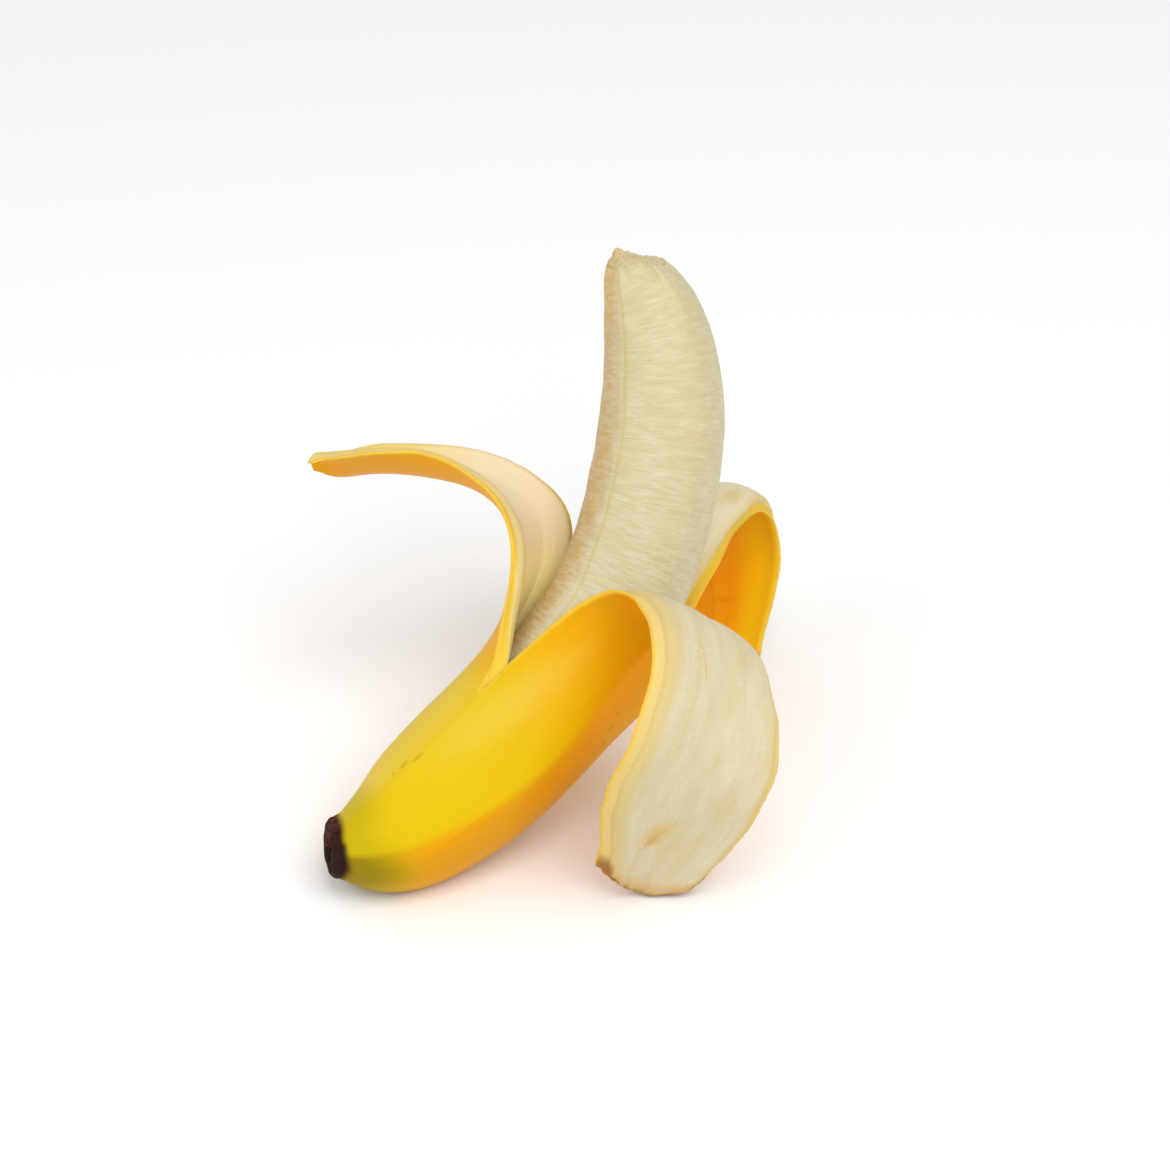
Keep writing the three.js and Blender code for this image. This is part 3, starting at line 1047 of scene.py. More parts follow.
# ------------------------------------------------------------------ finishes
def srgb(*parts: int) -> Colour:
    """A colour in the shader's linear numbers.

    Args:
        parts: Its red, green and blue, from 0 to 255.

    Returns:
        The opaque colour.
    """
    shares = [part / 255 for part in parts]
    linear = [c / 12.92 if c <= 0.04045 else ((c + 0.055) / 1.055) ** 2.4 for c in shares]
    return (linear[0], linear[1], linear[2], 1.0)


class Wire:
    """A shader value that is written into Python expressions."""

    MEAN = 0.5  # of a noise

    def __init__(self, finish: "Finish", socket: bpy.types.NodeSocket) -> None:
        """Wraps an output socket."""
        self.finish = finish
        self.socket = socket

    def __add__(self, other: Any) -> "Wire":
        """Adds."""
        return self.finish.math("ADD", self, other)

    __radd__ = __add__

    def __mul__(self, other: Any) -> "Wire":
        """Multiplies."""
        return self.finish.math("MULTIPLY", self, other)

    __rmul__ = __mul__

    def __sub__(self, other: Any) -> "Wire":
        """Takes other away."""
        return self.finish.math("SUBTRACT", self, other)

    def __rsub__(self, other: Any) -> "Wire":
        """Takes this away from other."""
        return self.finish.math("SUBTRACT", other, self)

    def __truediv__(self, other: Any) -> "Wire":
        """Divides."""
        return self.finish.math("DIVIDE", self, other)

    def __pow__(self, other: Any) -> "Wire":
        """Raises to a power."""
        return self.finish.math("POWER", self, other)

    def __abs__(self) -> "Wire":
        """The value without its sign."""
        return self.finish.math("ABSOLUTE", self)

    def larger(self, other: Any) -> "Wire":
        """The larger of this and other."""
        return self.finish.math("MAXIMUM", self, other)

    def swing(self, amount: float) -> "Wire":
        """A noise that swings about 0, made this many times stronger."""
        return (self - self.MEAN) * amount

    def ramp(self, start: float, end: float) -> "Wire":
        """A smooth step.

        Args:
            start: Where the step starts, with 0 before it.
            end: Where it ends, with 1 after it; it may lie below start.

        Returns:
            The step's height at this value.
        """
        rising = start < end
        settings = {"interpolation_type": "SMOOTHSTEP"}
        values = {
            "Value": self, "From Min": min(start, end), "From Max": max(start, end),
            "To Min": 0.0 if rising else 1.0, "To Max": 1.0 if rising else 0.0,
        }
        made = self.finish.node("ShaderNodeMapRange", settings, values)
        return Wire(self.finish, made.outputs[0])


@dataclass(frozen=True)
class Pattern:
    """Smooth noise, by how many high places it has for each millimetre of the fruit.

    shift gives another noise of the same kind, detail is how many finer layers it has, rough how
    strong they are, and bent how far it is twisted.
    """

    along: float
    around: float
    shift: float = 0.0
    detail: float = 2.0
    rough: float = 0.5
    bent: float = 0.0


class Finish:
    """A material whose pattern is worked out by shader nodes."""

    SHIFT_WAY = (1.0, 1.7, 0.6)  # where a noise's shift of 1 moves it

    def __init__(self, name: str) -> None:
        """Makes an empty material with one Principled shader.

        Args:
            name: The material's name.
        """
        self.material = bpy.data.materials.new(name)
        self.material.use_nodes = True
        self.tree = self.material.node_tree
        self.shader = self.tree.nodes["Principled BSDF"]

    def node(self, kind: str, settings: dict[str, Any], values: dict[Any, Any]) -> bpy.types.Node:
        """Adds a node.

        Args:
            kind: The node's type.
            settings: Its own settings, which are set first.
            values: Numbers, colours, wires or sockets for its inputs, by name or place.

        Returns:
            The node.
        """
        made = self.tree.nodes.new(kind)
        for name, value in settings.items():
            setattr(made, name, value)
        for name, value in values.items():
            self.feed(made.inputs[name], value)
        return made

    def feed(self, socket: bpy.types.NodeSocket, value: Any) -> None:
        """Gives an input what it reads.

        Args:
            socket: The input.
            value: A wire or socket to link, or a value to set.
        """
        if isinstance(value, Wire):
            self.tree.links.new(value.socket, socket)
        elif isinstance(value, bpy.types.NodeSocket):
            self.tree.links.new(value, socket)
        else:
            socket.default_value = value

    def math(self, operation: str, *values: Any) -> Wire:
        """A Math node of these values."""
        made = self.node("ShaderNodeMath", {"operation": operation}, dict(enumerate(values)))
        return Wire(self, made.outputs[0])

    def number(self, name: str) -> Wire:
        """A number kept at each vertex."""
        made = self.node("ShaderNodeAttribute", {"attribute_name": name}, {})
        return Wire(self, made.outputs["Fac"])

    def grown(self) -> bpy.types.NodeSocket:
        """Where the place was on the straight, closed fruit, in millimetres."""
        return self.node("ShaderNodeAttribute", {"attribute_name": "grown"}, {}).outputs["Vector"]

    def parted(self, vector: bpy.types.NodeSocket) -> tuple[Wire, Wire, Wire]:
        """The three numbers of a vector."""
        made = self.node("ShaderNodeSeparateXYZ", {}, {0: vector})
        return tuple(Wire(self, made.outputs[k]) for k in range(3))

    def noise(self, place: bpy.types.NodeSocket, pattern: Pattern) -> Wire:
        """Smooth noise between 0 and 1.

        Args:
            place: The place on the fruit.
            pattern: How fine, long and rough the noise is.

        Returns:
            The noise, with a mean of about 0.5.
        """
        shift = tuple(pattern.shift * way for way in self.SHIFT_WAY)
        scale = (pattern.along, pattern.around, pattern.around)
        settings = {"operation": "MULTIPLY_ADD"}
        moved = self.node("ShaderNodeVectorMath", settings, {0: place, 1: scale, 2: shift})
        values = {
            "Vector": moved.outputs[0], "Scale": 1.0, "Detail": pattern.detail,
            "Roughness": pattern.rough, "Distortion": pattern.bent,
        }
        made = self.node("ShaderNodeTexNoise", {"noise_dimensions": "3D"}, values)
        return Wire(self, made.outputs[0])

    def mix(self, share: Any, first: Any, second: Any) -> bpy.types.NodeSocket:
        """A colour that is first at share 0 and second at share 1."""
        settings = {"data_type": "RGBA", "blend_type": "MIX", "clamp_factor": True}
        return self.node("ShaderNodeMix", settings, {0: share, 6: first, 7: second}).outputs[2]

    def bump(self, height: Wire, distance: float) -> None:
        """Feeds a relief to the shader's normal.

        Args:
            height: The relief's height, as a share of distance.
            distance: Millimetres that a height of 1 stands for.
        """
        values = {"Height": height, "Distance": distance * MILLIMETRE, "Strength": 1.0}
        made = self.node("ShaderNodeBump", {}, values)
        self.feed(self.shader.inputs["Normal"], made.outputs["Normal"])

    def set(self, values: dict[str, Any]) -> None:
        """Sets or feeds the shader's own sockets by name."""
        for name, value in values.items():
            self.feed(self.shader.inputs[name], value)


@dataclass(frozen=True)
class Mark:
    """A soft ragged mark on the skin.

    Its middle is at run from the nub and at degrees round the fruit. long and wide are its half
    sizes, slope how far it drifts round the fruit for each millimetre along it, ragged how uneven
    its outline is, and soft how wide its fading border is, for a half size of 1.
    """

    RIM = 1.1  # where that border ends

    run: float
    degrees: float
    long: float
    wide: float
    slope: float = 0.0
    ragged: float = 0.7
    soft: float = 0.6


@dataclass(frozen=True)
class SkinColours:
    """The skin's colours, some of them painted light and shade: outside, on its torn edges, inside,
    where it has dried and on the nub.
    """

    # The first two are painted light and shade: yellow painted on the lit upper faces, orange
    # painted as shade below the ridge and on the far side.
    painted_lit: Colour = srgb(216, 182, 0)
    painted_shade: Colour = srgb(218, 150, 0)
    # The next three are lit and shaded copies for the strips past the fold's start: painted light
    # on their upper faces, deeper painted shade inside the fold, and painted shade below the ridge.
    fold: Colour = srgb(222, 164, 0)
    fold_painted_shade: Colour = srgb(250, 162, 0)
    far_painted_shade: Colour = srgb(244, 184, 0)
    back: Colour = srgb(238, 186, 0)
    # painted shade: deeper orange on the back strip's low half, in its fold
    back_painted_shade: Colour = srgb(232, 146, 0)
    # painted shade: orange on the left strip's outer face, which faces down under its curl
    left: Colour = srgb(232, 162, 0)
    streak: Colour = srgb(226, 198, 40)
    # painted sheen: pale, less yellow where light glances on the upper-left faces
    painted_sheen: Colour = srgb(224, 198, 84)
    unripe: Colour = srgb(184, 164, 0)
    # painted shade on the green near the nub, below the ridge
    unripe_painted_shade: Colour = srgb(126, 108, 0)
    by_tear: Colour = srgb(230, 192, 70)
    # painted highlight: a broad pale patch on the tube's upper face
    painted_highlight: Colour = srgb(222, 196, 78)
    # painted shade along a crease near the back strip's end
    crease_shade: Colour = srgb(196, 104, 0)
    speck: Colour = srgb(150, 92, 14)
    bruise: Colour = srgb(128, 78, 16)

    edge: Colour = srgb(222, 197, 124)
    edge_back: Colour = srgb(218, 180, 56)
    edge_left: Colour = srgb(229, 193, 64)
    edge_outer: Colour = srgb(222, 182, 48)
    edge_fibre: Colour = srgb(214, 182, 92)

    pith: Colour = srgb(213, 202, 171)
    pith_blotch: Colour = srgb(200, 183, 136)
    pith_fibre: Colour = srgb(200, 178, 130)
    pith_stroke: Colour = srgb(232, 224, 202)
    pith_left: Colour = srgb(236, 216, 178)
    # painted light: brighter towards the left strip's foot, where shade falls
    pith_left_painted_light: Colour = srgb(255, 246, 172)
    pith_left_tip: Colour = srgb(232, 202, 78)
    pith_back: Colour = srgb(224, 212, 178)
    # painted bounce light: warm light thrown onto the inner faces near the strips' feet
    pith_painted_bounce: Colour = srgb(238, 206, 130)
    pith_edge: Colour = srgb(209, 186, 117)
    stain: Colour = srgb(208, 176, 92)
    stain_heart: Colour = srgb(180, 130, 46)
    edge_stain: Colour = srgb(208, 170, 84)
    scratch: Colour = srgb(206, 150, 60)

    amber: Colour = srgb(200, 152, 66)
    brown: Colour = srgb(140, 90, 42)
    nub: Colour = srgb(34, 15, 13)
    nub_pore: Colour = srgb(58, 31, 24)
    # reddish on the nub's lumps on one side: partly rust and partly a painted highlight
    rust_and_highlight: Colour = srgb(128, 58, 36)


class SkinFinish(Finish):
    """Ripe skin: yellow to orange outside, partly painted light and shade, cream inside, pale where
    torn, dark on the nub.

    A pair of numbers is a range over which something fades in. It is 0 at the first number and 1 at
    the second.
    """

    COLOURS = SkinColours()
    GIRTH = 19.25  # the skin's middle radius, which turns an angle into millimetres

    # Along the fruit, in millimetres from the nub.
    ON_NUB = (4.4, 2.2)
    UNRIPE = (22, 7)
    UNRIPE_SHADE_RUN = (19, 5)
    RIDGE_TURNED = (60, 10)
    TORN = (58, 62)
    ON_BACK = (80, 110)
    # where the painted sheen on the upper-left faces fades out
    SHEEN_RUN = (72, 50)
    FAR = (50, 96)
    # where the deeper painted shade inside the fold comes in
    FOLD_SHADE_RUN = (98, 118)
    # where the painted light at the left strip's foot fades out
    LEFT_LIT_FOOT = (104, 90)
    LEFT_TIP = (118, 142)
    # where the painted bounce light at the strips' feet fades out
    BOUNCE_FOOT = (112, 76)

    # Round the fruit, in radians. The first three pairs lie on either side of a tear.
    LEFT_FROM = (0.969, 0.985)
    LEFT_TO = (2.801, 2.785)
    FRONT_FROM = (-1.51, -1.49)
    RIDGE_TURN = 0.26  # near the nub
    # The next two set where painted shade comes in: below the ridge and on the far side.
    SHADE_BELOW_RIDGE = (0.09, -0.12)  # beyond the ridge
    SHADE_BEHIND = (2.2, 2.6)
    # The next two set where the painted shade on the back strip's low half comes in.
    BACK_SHADE_FROM = (2.0, 2.4)
    BACK_SHADE_TO = (-1.9, -2.6)
    # The next two set where the painted sheen lies round the fruit.
    SHEEN_FROM = (0.8, 1.2)
    SHEEN_TO = (2.9, 2.4)
    WIDE_RIM = (0.6, 0.4)  # from the tear
    # where the nub's reddish rust and painted highlight lie round the fruit
    RUST_AND_HIGHLIGHT_SIDE = (0.1, 1.4)

    # Through the skin, from 0 on its outside to 1 on its inside.
    ON_EDGE = (0.02, 0.14)
    PALE_EDGE = (0.0, 0.4)
    ON_PITH = (0.86, 0.99)
    SOFT = (0.05, 0.5)
    DRY = (0.02, 0.2)

    # In millimetres from a torn side or from a strip's end.
    BY_TEAR = (1.6, 0.2)
    AMBER_END = (9, 1)
    BROWN_END = (3.0, 0.3)
    BROWN_SIDE = (2.6, 0.4)
    BROWN_CORNER = (9, 3)

    BROAD = Pattern(0.03, 0.06)
    BLOTCH = Pattern(0.07, 0.17, shift=41, detail=3, rough=0.55)
    STREAKS = Pattern(0.025, 0.55, shift=3, detail=3, rough=0.6)
    PORES = Pattern(1.6, 1.6, shift=9, rough=0.6)
    FIBRES = Pattern(0.04, 0.7, shift=5, detail=3, rough=0.6, bent=0.4)
    STROKES = Pattern(0.85, 0.2, shift=7, rough=0.6, bent=0.5)
    GRAIN = Pattern(0.42, 0.42, shift=21, detail=3, rough=0.7)
    LUMPS = Pattern(0.7, 0.7, shift=17, detail=4, rough=0.7)

    # A painted highlight: a broad pale patch along the tube's upper face.
    PAINTED_HIGHLIGHT = Mark(60, 33, long=34, wide=7.5, slope=-0.15, ragged=0.5, soft=0.95)
    # Painted shade along a crease near the back strip's end.
    CREASE_SHADE = Mark(194.3, -155, long=1.6, wide=6, ragged=0.6, soft=0.95)
    BRUISES = (
        Mark(30, 56, 1.6, 0.7), Mark(34, 51, 2.2, 0.5), Mark(26, 58, 0.9, 0.5),
        Mark(76, -50, 1.3, 0.6), Mark(72, -56, 0.8, 0.6), Mark(80, -44, 1.0, 0.5),
    )
    STAIN = Mark(189, 3, long=9, wide=7, slope=0.55, ragged=0.9, soft=0.95)
    STAIN_HEART = Mark(192, 7, long=6, wide=2.6, slope=0.55, ragged=1.2, soft=0.95)
    EDGE_STAIN = Mark(147.9, -104, long=7, wide=2.6, slope=0.2, ragged=1.2, soft=0.95)
    SCRATCH = Mark(137, 13, long=10, wide=0.4, slope=-0.3, ragged=1.6)

    def __init__(self) -> None:
        """Builds the shader."""
        super().__init__("ripe_skin")
        grown = self.grown()
        self.place_on_fruit(grown)
        self.broad = self.noise(grown, self.BROAD)
        self.blotch = self.noise(grown, self.BLOTCH)
        self.streaks = self.noise(grown, self.STREAKS)
        self.pores = self.noise(grown, self.PORES)
        self.fibres = self.noise(grown, self.FIBRES)
        self.strokes = self.noise(grown, self.STROKES)
        self.grain = self.noise(grown, self.GRAIN)
        self.lumps = self.noise(grown, self.LUMPS)

        on_nub = (self.run + self.pores.swing(0.8) + self.broad.swing(3)).ramp(*self.ON_NUB)
        colour = self.mix(self.inside.ramp(*self.ON_EDGE), self.outside(), self.torn_edge())
        colour = self.mix(self.inside.ramp(*self.ON_PITH), colour, self.pith())
        colour = self.dried(colour)
        colour = self.mix(on_nub, colour, self.nub())

        soft = self.inside.ramp(*self.SOFT)
        rough = 0.46 + soft * 0.24 + on_nub * 0.2 + self.streaks.swing(0.1)
        height = self.pores * 0.04 + self.streaks * 0.1
        height = height + soft * (self.fibres * 0.5 + self.strokes * 0.3)
        height = height + on_nub * self.lumps * 2.2
        self.set({
            "Base Color": colour, "Roughness": rough, "Specular IOR Level": 0.1,
            "Subsurface Weight": 0.1, "Subsurface Scale": 3 * MILLIMETRE,
            "Subsurface Radius": (1.0, 0.55, 0.15),
        })
        self.bump(height, 0.35)

    def place_on_fruit(self, grown: bpy.types.NodeSocket) -> None:
        """Works out where on the skin a point is, and on which strip.

        Args:
            grown: The place on the closed fruit.
        """
        self.run, level, rise = self.parted(grown)
        self.round = self.math("ARCTAN2", rise, level)
        self.inside, self.torn, self.tip = (self.number(key) for key in ("inside", "torn", "tip"))
        torn_off = self.run.ramp(*self.TORN)
        self.left = self.round.ramp(*self.LEFT_FROM) * self.round.ramp(*self.LEFT_TO) * torn_off
        others = self.round.ramp(*self.FRONT_FROM) * self.round.ramp(*self.LEFT_TO)
        self.back = (1 - others) * self.run.ramp(*self.ON_BACK)

    def marked(self, mark: Mark) -> Wire:
        """Where a mark is.

        Args:
            mark: The mark.

        Returns:
            1 inside the mark, and 0 well outside it.
        """
        along = self.run - mark.run
        across = (self.round - math.radians(mark.degrees)) * self.GIRTH - along * mark.slope
        away = ((along / mark.long) ** 2 + (across / mark.wide) ** 2) ** 0.5
        return (away + self.grain.swing(mark.ragged)).ramp(Mark.RIM, Mark.RIM - mark.soft)

    def outside(self) -> bpy.types.NodeSocket:
        """The outer skin's colour.

        Returns:
            Yellow painted as light on the lit faces and orange painted as shade below the ridge, on
            the far side, in the folds and under the left strip; a painted highlight, sheen and
            crease shade;
            greener towards the nub, paler along the tears, and with a few small marks.
        """
        hue = self.COLOURS
        ridge = math.radians(Section.ridge_at) + self.run.ramp(*self.RIDGE_TURNED) * self.RIDGE_TURN
        # Painted shade below the ridge and on the far side; painted light, yellow, elsewhere.
        shade_below_ridge = (self.round - ridge + self.streaks.swing(0.1)).ramp(*self.SHADE_BELOW_RIDGE)
        shade_behind = (abs(self.round) + self.broad.swing(0.5)).ramp(*self.SHADE_BEHIND)
        far = (self.run + self.broad.swing(20)).ramp(*self.FAR)
        painted_shade_mask = shade_below_ridge.larger(shade_behind)
        skin = self.mix(painted_shade_mask, hue.painted_lit, hue.painted_shade)
        # Past the fold's start: painted light on the upper faces, deeper painted shade inside the
        # fold, and painted shade below the ridge.
        fold = self.mix(self.run.ramp(*self.FOLD_SHADE_RUN), hue.fold, hue.fold_painted_shade)
        skin = self.mix(far, skin, self.mix(shade_below_ridge, fold, hue.far_painted_shade))
        # Painted shade: deeper orange on the back strip's low half, in the shade of its fold.
        back_shade = self.round.ramp(*self.BACK_SHADE_TO).larger(self.round.ramp(*self.BACK_SHADE_FROM))
        back = self.mix(back_shade, hue.back, hue.back_painted_shade)
        skin = self.mix(self.back, skin, back)
        # Painted shade: orange on the left strip's outer face, under its curl.
        skin = self.mix(self.left * far, skin, hue.left)
        skin = self.mix(self.streaks.swing(0.4) + 0.04, skin, hue.streak)
        # Painted sheen: pale, less yellow where light glances on the upper-left faces near the nub.
        painted_sheen = self.round.ramp(*self.SHEEN_FROM) * self.run.ramp(*self.SHEEN_RUN)
        skin = self.mix(painted_sheen * self.round.ramp(*self.SHEEN_TO) * 0.5, skin, hue.painted_sheen)
        near_nub = self.run + self.broad.swing(14)
        skin = self.mix(near_nub.ramp(*self.UNRIPE) * 0.75, skin, hue.unripe)
        # Painted shade: darker green below the ridge near the nub.
        unripe_painted_shade = near_nub.ramp(*self.UNRIPE_SHADE_RUN) * shade_below_ridge
        skin = self.mix(unripe_painted_shade * 0.75, skin, hue.unripe_painted_shade)
        skin = self.mix(self.torn.ramp(*self.BY_TEAR) * 0.8, skin, hue.by_tear)
        # Painted highlight: a broad pale patch on the tube's upper face.
        skin = self.mix(self.marked(self.PAINTED_HIGHLIGHT) * 0.4, skin, hue.painted_highlight)
        # Painted shade: darker orange along a crease near the back strip's end.
        skin = self.mix(self.marked(self.CREASE_SHADE) * 0.25, skin, hue.crease_shade)
        skin = self.mix(self.grain.ramp(0.74, 0.82) * 0.4, skin, hue.speck)
        for mark in self.BRUISES:
            skin = self.mix(self.marked(mark) * 0.3, skin, hue.bruise)
        return skin

    def torn_edge(self) -> bpy.types.NodeSocket:
        """The torn edge's colour.

        Returns:
            Yellow at the outer skin, and cream further in.
        """
        hue = self.COLOURS
        pale = self.mix(self.back, hue.edge, hue.edge_back)
        edge = self.mix(self.inside.ramp(*self.PALE_EDGE), hue.edge_outer, pale)
        edge = self.mix(self.left, edge, hue.edge_left)
        return self.mix(self.fibres.swing(0.8) + 0.1, edge, hue.edge_fibre)

    def pith(self) -> bpy.types.NodeSocket:
        """The inner face's colour.

        Returns:
            Cream with fibres along it and strokes across it, warmer along the strips' edges, with
            painted bounce light at their feet and painted light at the left strip's foot, and with
            a few stains.
        """
        hue = self.COLOURS
        pith = self.mix((self.blotch - 0.3) * 1.6, hue.pith, hue.pith_blotch)
        pith = self.mix(self.fibres.ramp(0.52, 0.72) * 0.3, pith, hue.pith_fibre)
        pith = self.mix(self.strokes.ramp(0.52, 0.7) * 0.12, pith, hue.pith_stroke)
        # Painted light: brighter cream towards the left strip's foot, against the shade there.
        left = self.mix(self.run.ramp(*self.LEFT_LIT_FOOT), hue.pith_left, hue.pith_left_painted_light)
        pith = self.mix(self.left * 0.9, pith, left)
        pith = self.mix(self.back * 0.6, pith, hue.pith_back)
        # Painted bounce light: warm tan on the inner faces near the strips' feet.
        painted_bounce = self.run.ramp(*self.BOUNCE_FOOT) * self.broad * (1 - self.left * 0.5)
        pith = self.mix(painted_bounce, pith, hue.pith_painted_bounce)
        left_tip = self.left * self.run.ramp(*self.LEFT_TIP)
        pith = self.mix(left_tip * 0.8, pith, hue.pith_left_tip)
        to_tear = abs(self.round - math.radians(Tear.LEFT_FRONT.value.degrees))
        wide = to_tear.ramp(*self.WIDE_RIM) * 2.2 + 2.6
        rough_edge = (self.torn + self.fibres.swing(1.6)) / wide
        pith = self.mix(rough_edge.ramp(1.3, 0.1) * 0.8, pith, hue.pith_edge)
        pith = self.mix(self.marked(self.STAIN) * 0.7, pith, hue.stain)
        pith = self.mix(self.marked(self.STAIN_HEART) * 0.35, pith, hue.stain_heart)
        pith = self.mix(self.marked(self.EDGE_STAIN) * 0.45, pith, hue.edge_stain)
        scratch = self.marked(self.SCRATCH) * self.grain.ramp(0.44, 0.54)
        return self.mix(scratch * 0.75, pith, hue.scratch)

    def dried(self, colour: bpy.types.NodeSocket) -> bpy.types.NodeSocket:
        """The colour where the ends of the front and the back strip have dried.

        Args:
            colour: The fresh skin's colour.

        Returns:
            The colour with amber near the ends and brown on their edges.
        """
        uneven = self.blotch.swing(12) + self.grain.swing(4)
        not_left = 1 - self.left
        amber = (self.tip + uneven).ramp(*self.AMBER_END) * self.inside.ramp(*self.DRY)
        colour = self.mix(amber * not_left * 0.75, colour, self.COLOURS.amber)
        at_end = (self.tip + uneven * 0.35).ramp(*self.BROWN_END)
        in_corner = (self.tip + uneven * 0.5).ramp(*self.BROWN_CORNER)
        at_side = self.torn.ramp(*self.BROWN_SIDE) * in_corner
        brown = at_end.larger(at_side * self.inside.ramp(*self.DRY))
        return self.mix(brown * not_left * 0.75, colour, self.COLOURS.brown)

    def nub(self) -> bpy.types.NodeSocket:
        """The nub's colour.

        Returns:
            Dark brown, with reddish rust and a painted highlight on the lumps of one side.
        """
        # Reddish on the lumps of one side: partly rust and partly a painted highlight.
        rust_and_highlight = self.lumps.ramp(0.46, 0.62) * self.round.ramp(*self.RUST_AND_HIGHLIGHT_SIDE)
        nub = self.mix(self.pores, self.COLOURS.nub, self.COLOURS.nub_pore)
        return self.mix(rust_and_highlight * 0.8, nub, self.COLOURS.rust_and_highlight)


@dataclass(frozen=True)
class FleshColours:
    """The flesh's colours."""

    cream: Colour = srgb(205, 195, 161)
    ivory: Colour = srgb(199, 186, 143)
    low: Colour = srgb(213, 204, 172)
    mark: Colour = srgb(186, 168, 116)
    fine_mark: Colour = srgb(226, 219, 194)
    # tan on the flesh's left side: partly its own tan strings and partly painted shade
    tan: Colour = srgb(200, 160, 94)
    tan_top: Colour = srgb(216, 176, 96)
    # painted shade in the grooves, and a painted highlight on the lip beside each
    groove: Colour = srgb(206, 184, 98)
    painted_lip_highlight: Colour = srgb(226, 221, 198)
    broken: Colour = srgb(218, 196, 148)


class FleshFinish(Finish):
    """Bare flesh: cream, with short marks across it and a few grooves along it, painted shade in
    the grooves and on its left side, and a painted highlight beside each groove.

    A pair of numbers that goes to a ramp is 0 at the first and 1 at the second.
    """

    COLOURS = FleshColours()
    BROAD = Pattern(0.035, 0.08)
    MARKS = Pattern(0.75, 0.17, shift=4, rough=0.55, bent=0.15)
    FINE = Pattern(1.5, 0.22, shift=8, bent=0.3)
    CRUMB = Pattern(0.9, 0.9, shift=12, detail=4, rough=0.65)

    LOW = (130, 90)  # millimetres along the fruit
    TOP = (176, 190)
    # The next two set where the tan and painted shade lie round the fruit.
    TAN_SHADE_FROM = (1.0, 1.35)  # radians round the fruit
    TAN_SHADE_TO = (2.6, 2.2)
    OFF_SIDE = (0.0, 0.05)  # from the rim of the broken end, at 0, to its middle
    ROUGH_END = (0, 0.1)
    TINTED_END = (0.0, 0.15)

    GROOVES = ((54, 1.0), (-14, 0.2), (-120, 0.5), (155, 0.5))  # degrees round the fruit, depth
    GROOVE_WIDTH = (0.05, 0.01)  # radians from its middle
    # the lip beside a groove gets a painted highlight
    LIP = 0.07  # radians from a groove to the light lip beside it

    def __init__(self) -> None:
        """Builds the shader."""
        super().__init__("bare_flesh")
        hue = self.COLOURS
        grown = self.grown()
        run, level, rise = self.parted(grown)
        broken = self.number("broken")
        broad = self.noise(grown, self.BROAD)
        marks = self.noise(grown, self.MARKS)
        fine = self.noise(grown, self.FINE)
        crumb = self.noise(grown, self.CRUMB)
        angle = self.math("ARCTAN2", rise, level) + broad.swing(0.25)
        colour = self.mix(broad, hue.cream, hue.ivory)
        colour = self.mix(run.ramp(*self.LOW) * 0.6, colour, hue.low)
        ridged = marks.ramp(0.38, 0.64)
        colour = self.mix(ridged * 0.3, colour, hue.mark)
        colour = self.mix(fine.ramp(0.5, 0.75) * 0.3, colour, hue.fine_mark)
        # Tan on the left side: partly the flesh's own strings and partly painted shade.
        tan = angle.ramp(*self.TAN_SHADE_FROM) * angle.ramp(*self.TAN_SHADE_TO)
        colour = self.mix(tan * (0.3 + ridged * 0.45), colour, hue.tan)
        colour = self.mix(tan * run.ramp(*self.TOP) * 0.4, colour, hue.tan_top)
        side = 1 - broken.ramp(*self.OFF_SIDE)
        # Painted shade in each groove and a painted highlight on the lip beside it.
        groove, painted_lip_highlight = self.grooves(angle)
        colour = self.mix(groove * side * 0.5, colour, hue.groove)
        colour = self.mix(painted_lip_highlight * side * 0.12, colour, hue.painted_lip_highlight)
        colour = self.mix(broken.ramp(*self.TINTED_END) * 0.45, colour, hue.broken)
        torn = broken.ramp(*self.ROUGH_END) * crumb
        height = ridged * 0.34 + fine * 0.22 + crumb * 0.2 - groove * side * 0.2 + torn * 2.5
        rough = 0.5 + marks.swing(0.15)
        self.set({
            "Base Color": colour, "Roughness": rough, "Specular IOR Level": 0.35,
            "Subsurface Weight": 0.2, "Subsurface Scale": 3 * MILLIMETRE,
            "Subsurface Radius": (1.0, 0.7, 0.35),
        })
        self.bump(height, 0.3)

    def grooves(self, angle: Wire) -> tuple[Wire, Wire]:
        """The grooves along the flesh.

        Args:
            angle: The angle round the flesh, in radians.

        Returns:
            How deep the grooves are, which also sets their painted shade, and the painted highlight
            on the lip beside each.
        """
        groove, painted_lip_highlight = None, None
        for at, depth in self.GROOVES:
            away = angle - math.radians(at)
            line = abs(away).ramp(*self.GROOVE_WIDTH) * depth
            light = abs(away - self.LIP).ramp(*self.GROOVE_WIDTH) * depth
            groove = line if groove is None else groove.larger(line)
            painted_lip_highlight = light if painted_lip_highlight is None else painted_lip_highlight.larger(light)
        return groove, painted_lip_highlight


# ------------------------------------------------------------------ the room
@dataclass(frozen=True)
class Lamp:
    """A soft square light, with its place and size in metres and its power in watts."""

    name: str
    place: tuple[float, float, float]
    size: float
    power: float


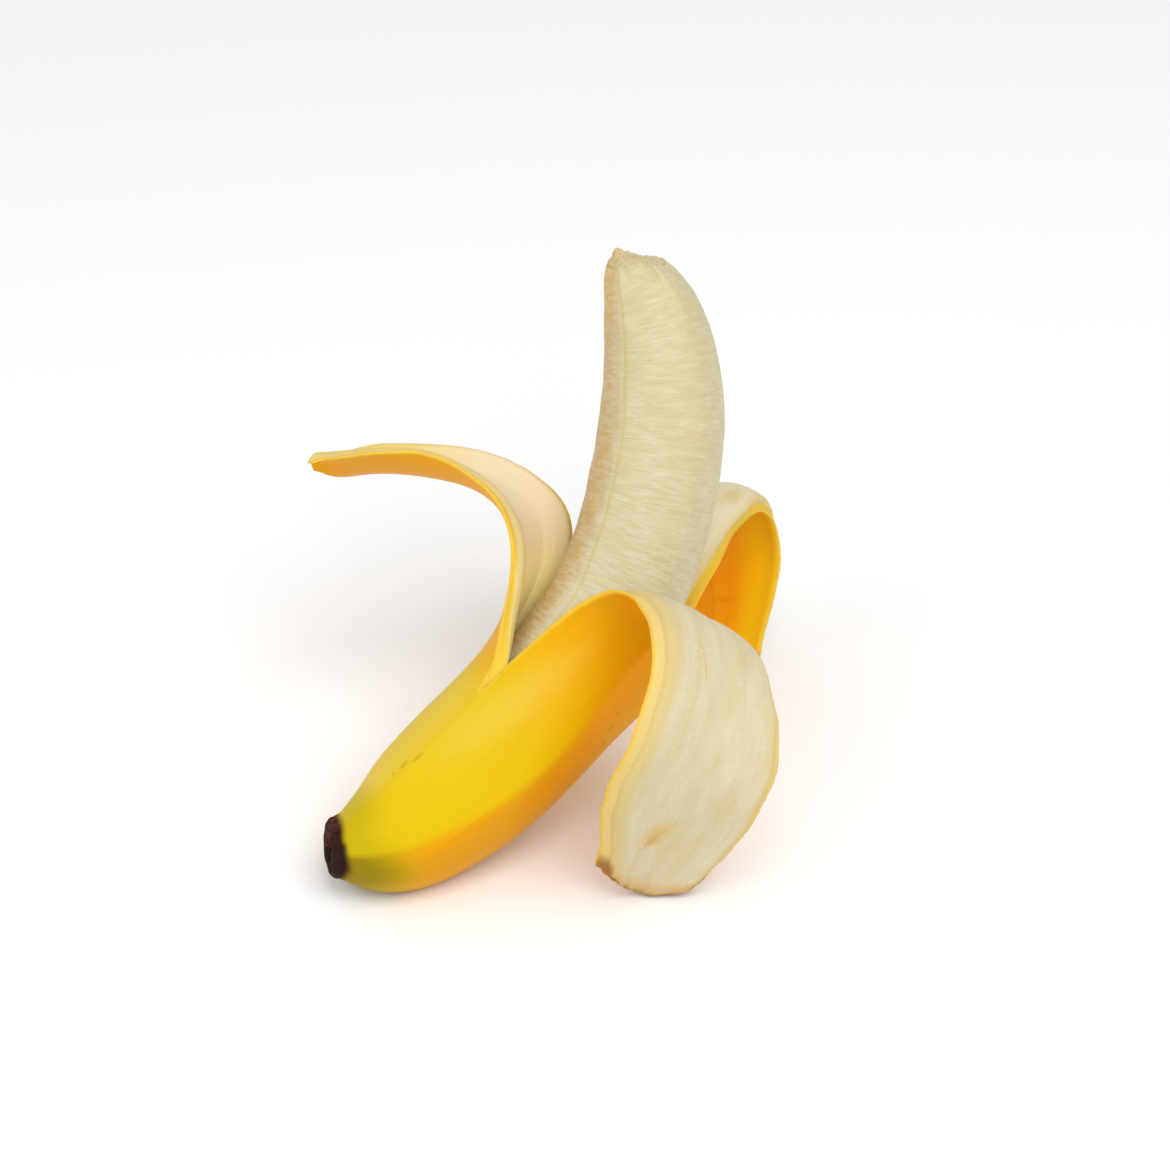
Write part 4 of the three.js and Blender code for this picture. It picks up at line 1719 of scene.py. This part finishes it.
@dataclass
class Studio:
    """A pale floor, soft light and the camera."""

    target: tuple[float, float, float] = (7.14, 11.41, 56.43)
    distance: float = 800
    elevation: float = 37
    image: int = 1170
    focal_pixels: float = 3000
    sensor: float = 36
    lamps: tuple[Lamp, ...] = (
        Lamp("key", (0.35, -0.6, 1.2), 0.9, 10), Lamp("fill", (-0.9, -0.6, 0.8), 1.0, 3.5),
    )
    floor_size: float = 8  # in metres, from the middle to an edge
    floor_below: float = 0.1
    floor_grey: float = 0.93
    even_light: float = 0.68

    def camera(self) -> None:
        """Makes the camera."""
        data = bpy.data.cameras.new("camera")
        data.sensor_width = self.sensor
        data.lens = self.focal_pixels / self.image * self.sensor
        camera = bpy.data.objects.new("camera", data)
        bpy.context.scene.collection.objects.link(camera)
        angle = math.radians(self.elevation)
        back = Vector((0, -math.cos(angle), math.sin(angle)))
        camera.location = (Vector(self.target) + back * self.distance) * MILLIMETRE
        camera.rotation_euler = (-back).to_track_quat("-Z", "Y").to_euler()
        bpy.context.scene.camera = camera

    def floor(self) -> None:
        """Makes the floor, just below the banana."""
        mesh = bmesh.new()
        bmesh.ops.create_grid(mesh, x_segments=2, y_segments=2, size=self.floor_size)
        below = (0, 0, -self.floor_below * MILLIMETRE)
        bmesh.ops.translate(mesh, verts=mesh.verts, vec=below)
        data = bpy.data.meshes.new("floor")
        mesh.to_mesh(data)
        mesh.free()
        floor = bpy.data.objects.new("floor", data)
        bpy.context.scene.collection.objects.link(floor)
        pale = Finish("pale_floor")
        pale.set({"Base Color": (*[self.floor_grey] * 3, 1), "Roughness": 0.9})
        data.materials.append(pale.material)

    def light(self, lamp: Lamp) -> None:
        """Makes a light that points at the banana.

        Args:
            lamp: The light.
        """
        data = bpy.data.lights.new(lamp.name, "AREA")
        data.shape, data.size, data.energy = "SQUARE", lamp.size, lamp.power
        light = bpy.data.objects.new(lamp.name, data)
        bpy.context.scene.collection.objects.link(light)
        light.location = lamp.place
        toward = Vector(self.target) * MILLIMETRE - Vector(lamp.place)
        light.rotation_euler = toward.to_track_quat("-Z", "Y").to_euler()

    def world(self) -> None:
        """Makes the world's even white light."""
        world = bpy.data.worlds.new("even_light")
        world.use_nodes = True
        background = world.node_tree.nodes["Background"]
        background.inputs["Color"].default_value = (1, 1, 1, 1)
        background.inputs["Strength"].default_value = self.even_light
        bpy.context.scene.world = world
        bpy.context.scene.view_settings.view_transform = "Standard"

    def build(self) -> None:
        """Makes the camera, the floor and the lights."""
        self.camera()
        self.floor()
        for lamp in self.lamps:
            self.light(lamp)
        self.world()


def stand_in(piece: bpy.types.Object, finish: Finish, node: str) -> None:
    """Gives a piece its finish and puts it in the place of its solid.

    Args:
        piece: The piece.
        finish: What it wears.
        node: The solid that it stands for.
    """
    piece.data.materials.append(finish.material)
    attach(piece, "root")
    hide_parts(node)
    low, high = ((np.array(corner[:]) / MILLIMETRE).round(1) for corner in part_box(node))
    flat = np.empty(len(piece.data.vertices) * 3, np.float32)
    piece.data.vertices.foreach_get("co", flat)
    own = flat.reshape(-1, 3) / MILLIMETRE
    log.info("%s: %s to %s mm", piece.name, own.min(0).round(1), own.max(0).round(1))
    log.info("%s, which it stands for: %s to %s mm", node, low, high)


def main() -> None:
    """Builds the banana and the room."""
    logging.basicConfig(level=logging.INFO, format="%(name)s: %(message)s")
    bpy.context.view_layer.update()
    line, section = CentreLine(), Section()
    Studio().build()
    for part in (Peel(line, section), Flesh(line, section)):
        part.dress(part.build())


if __name__ == "__main__":
    main()
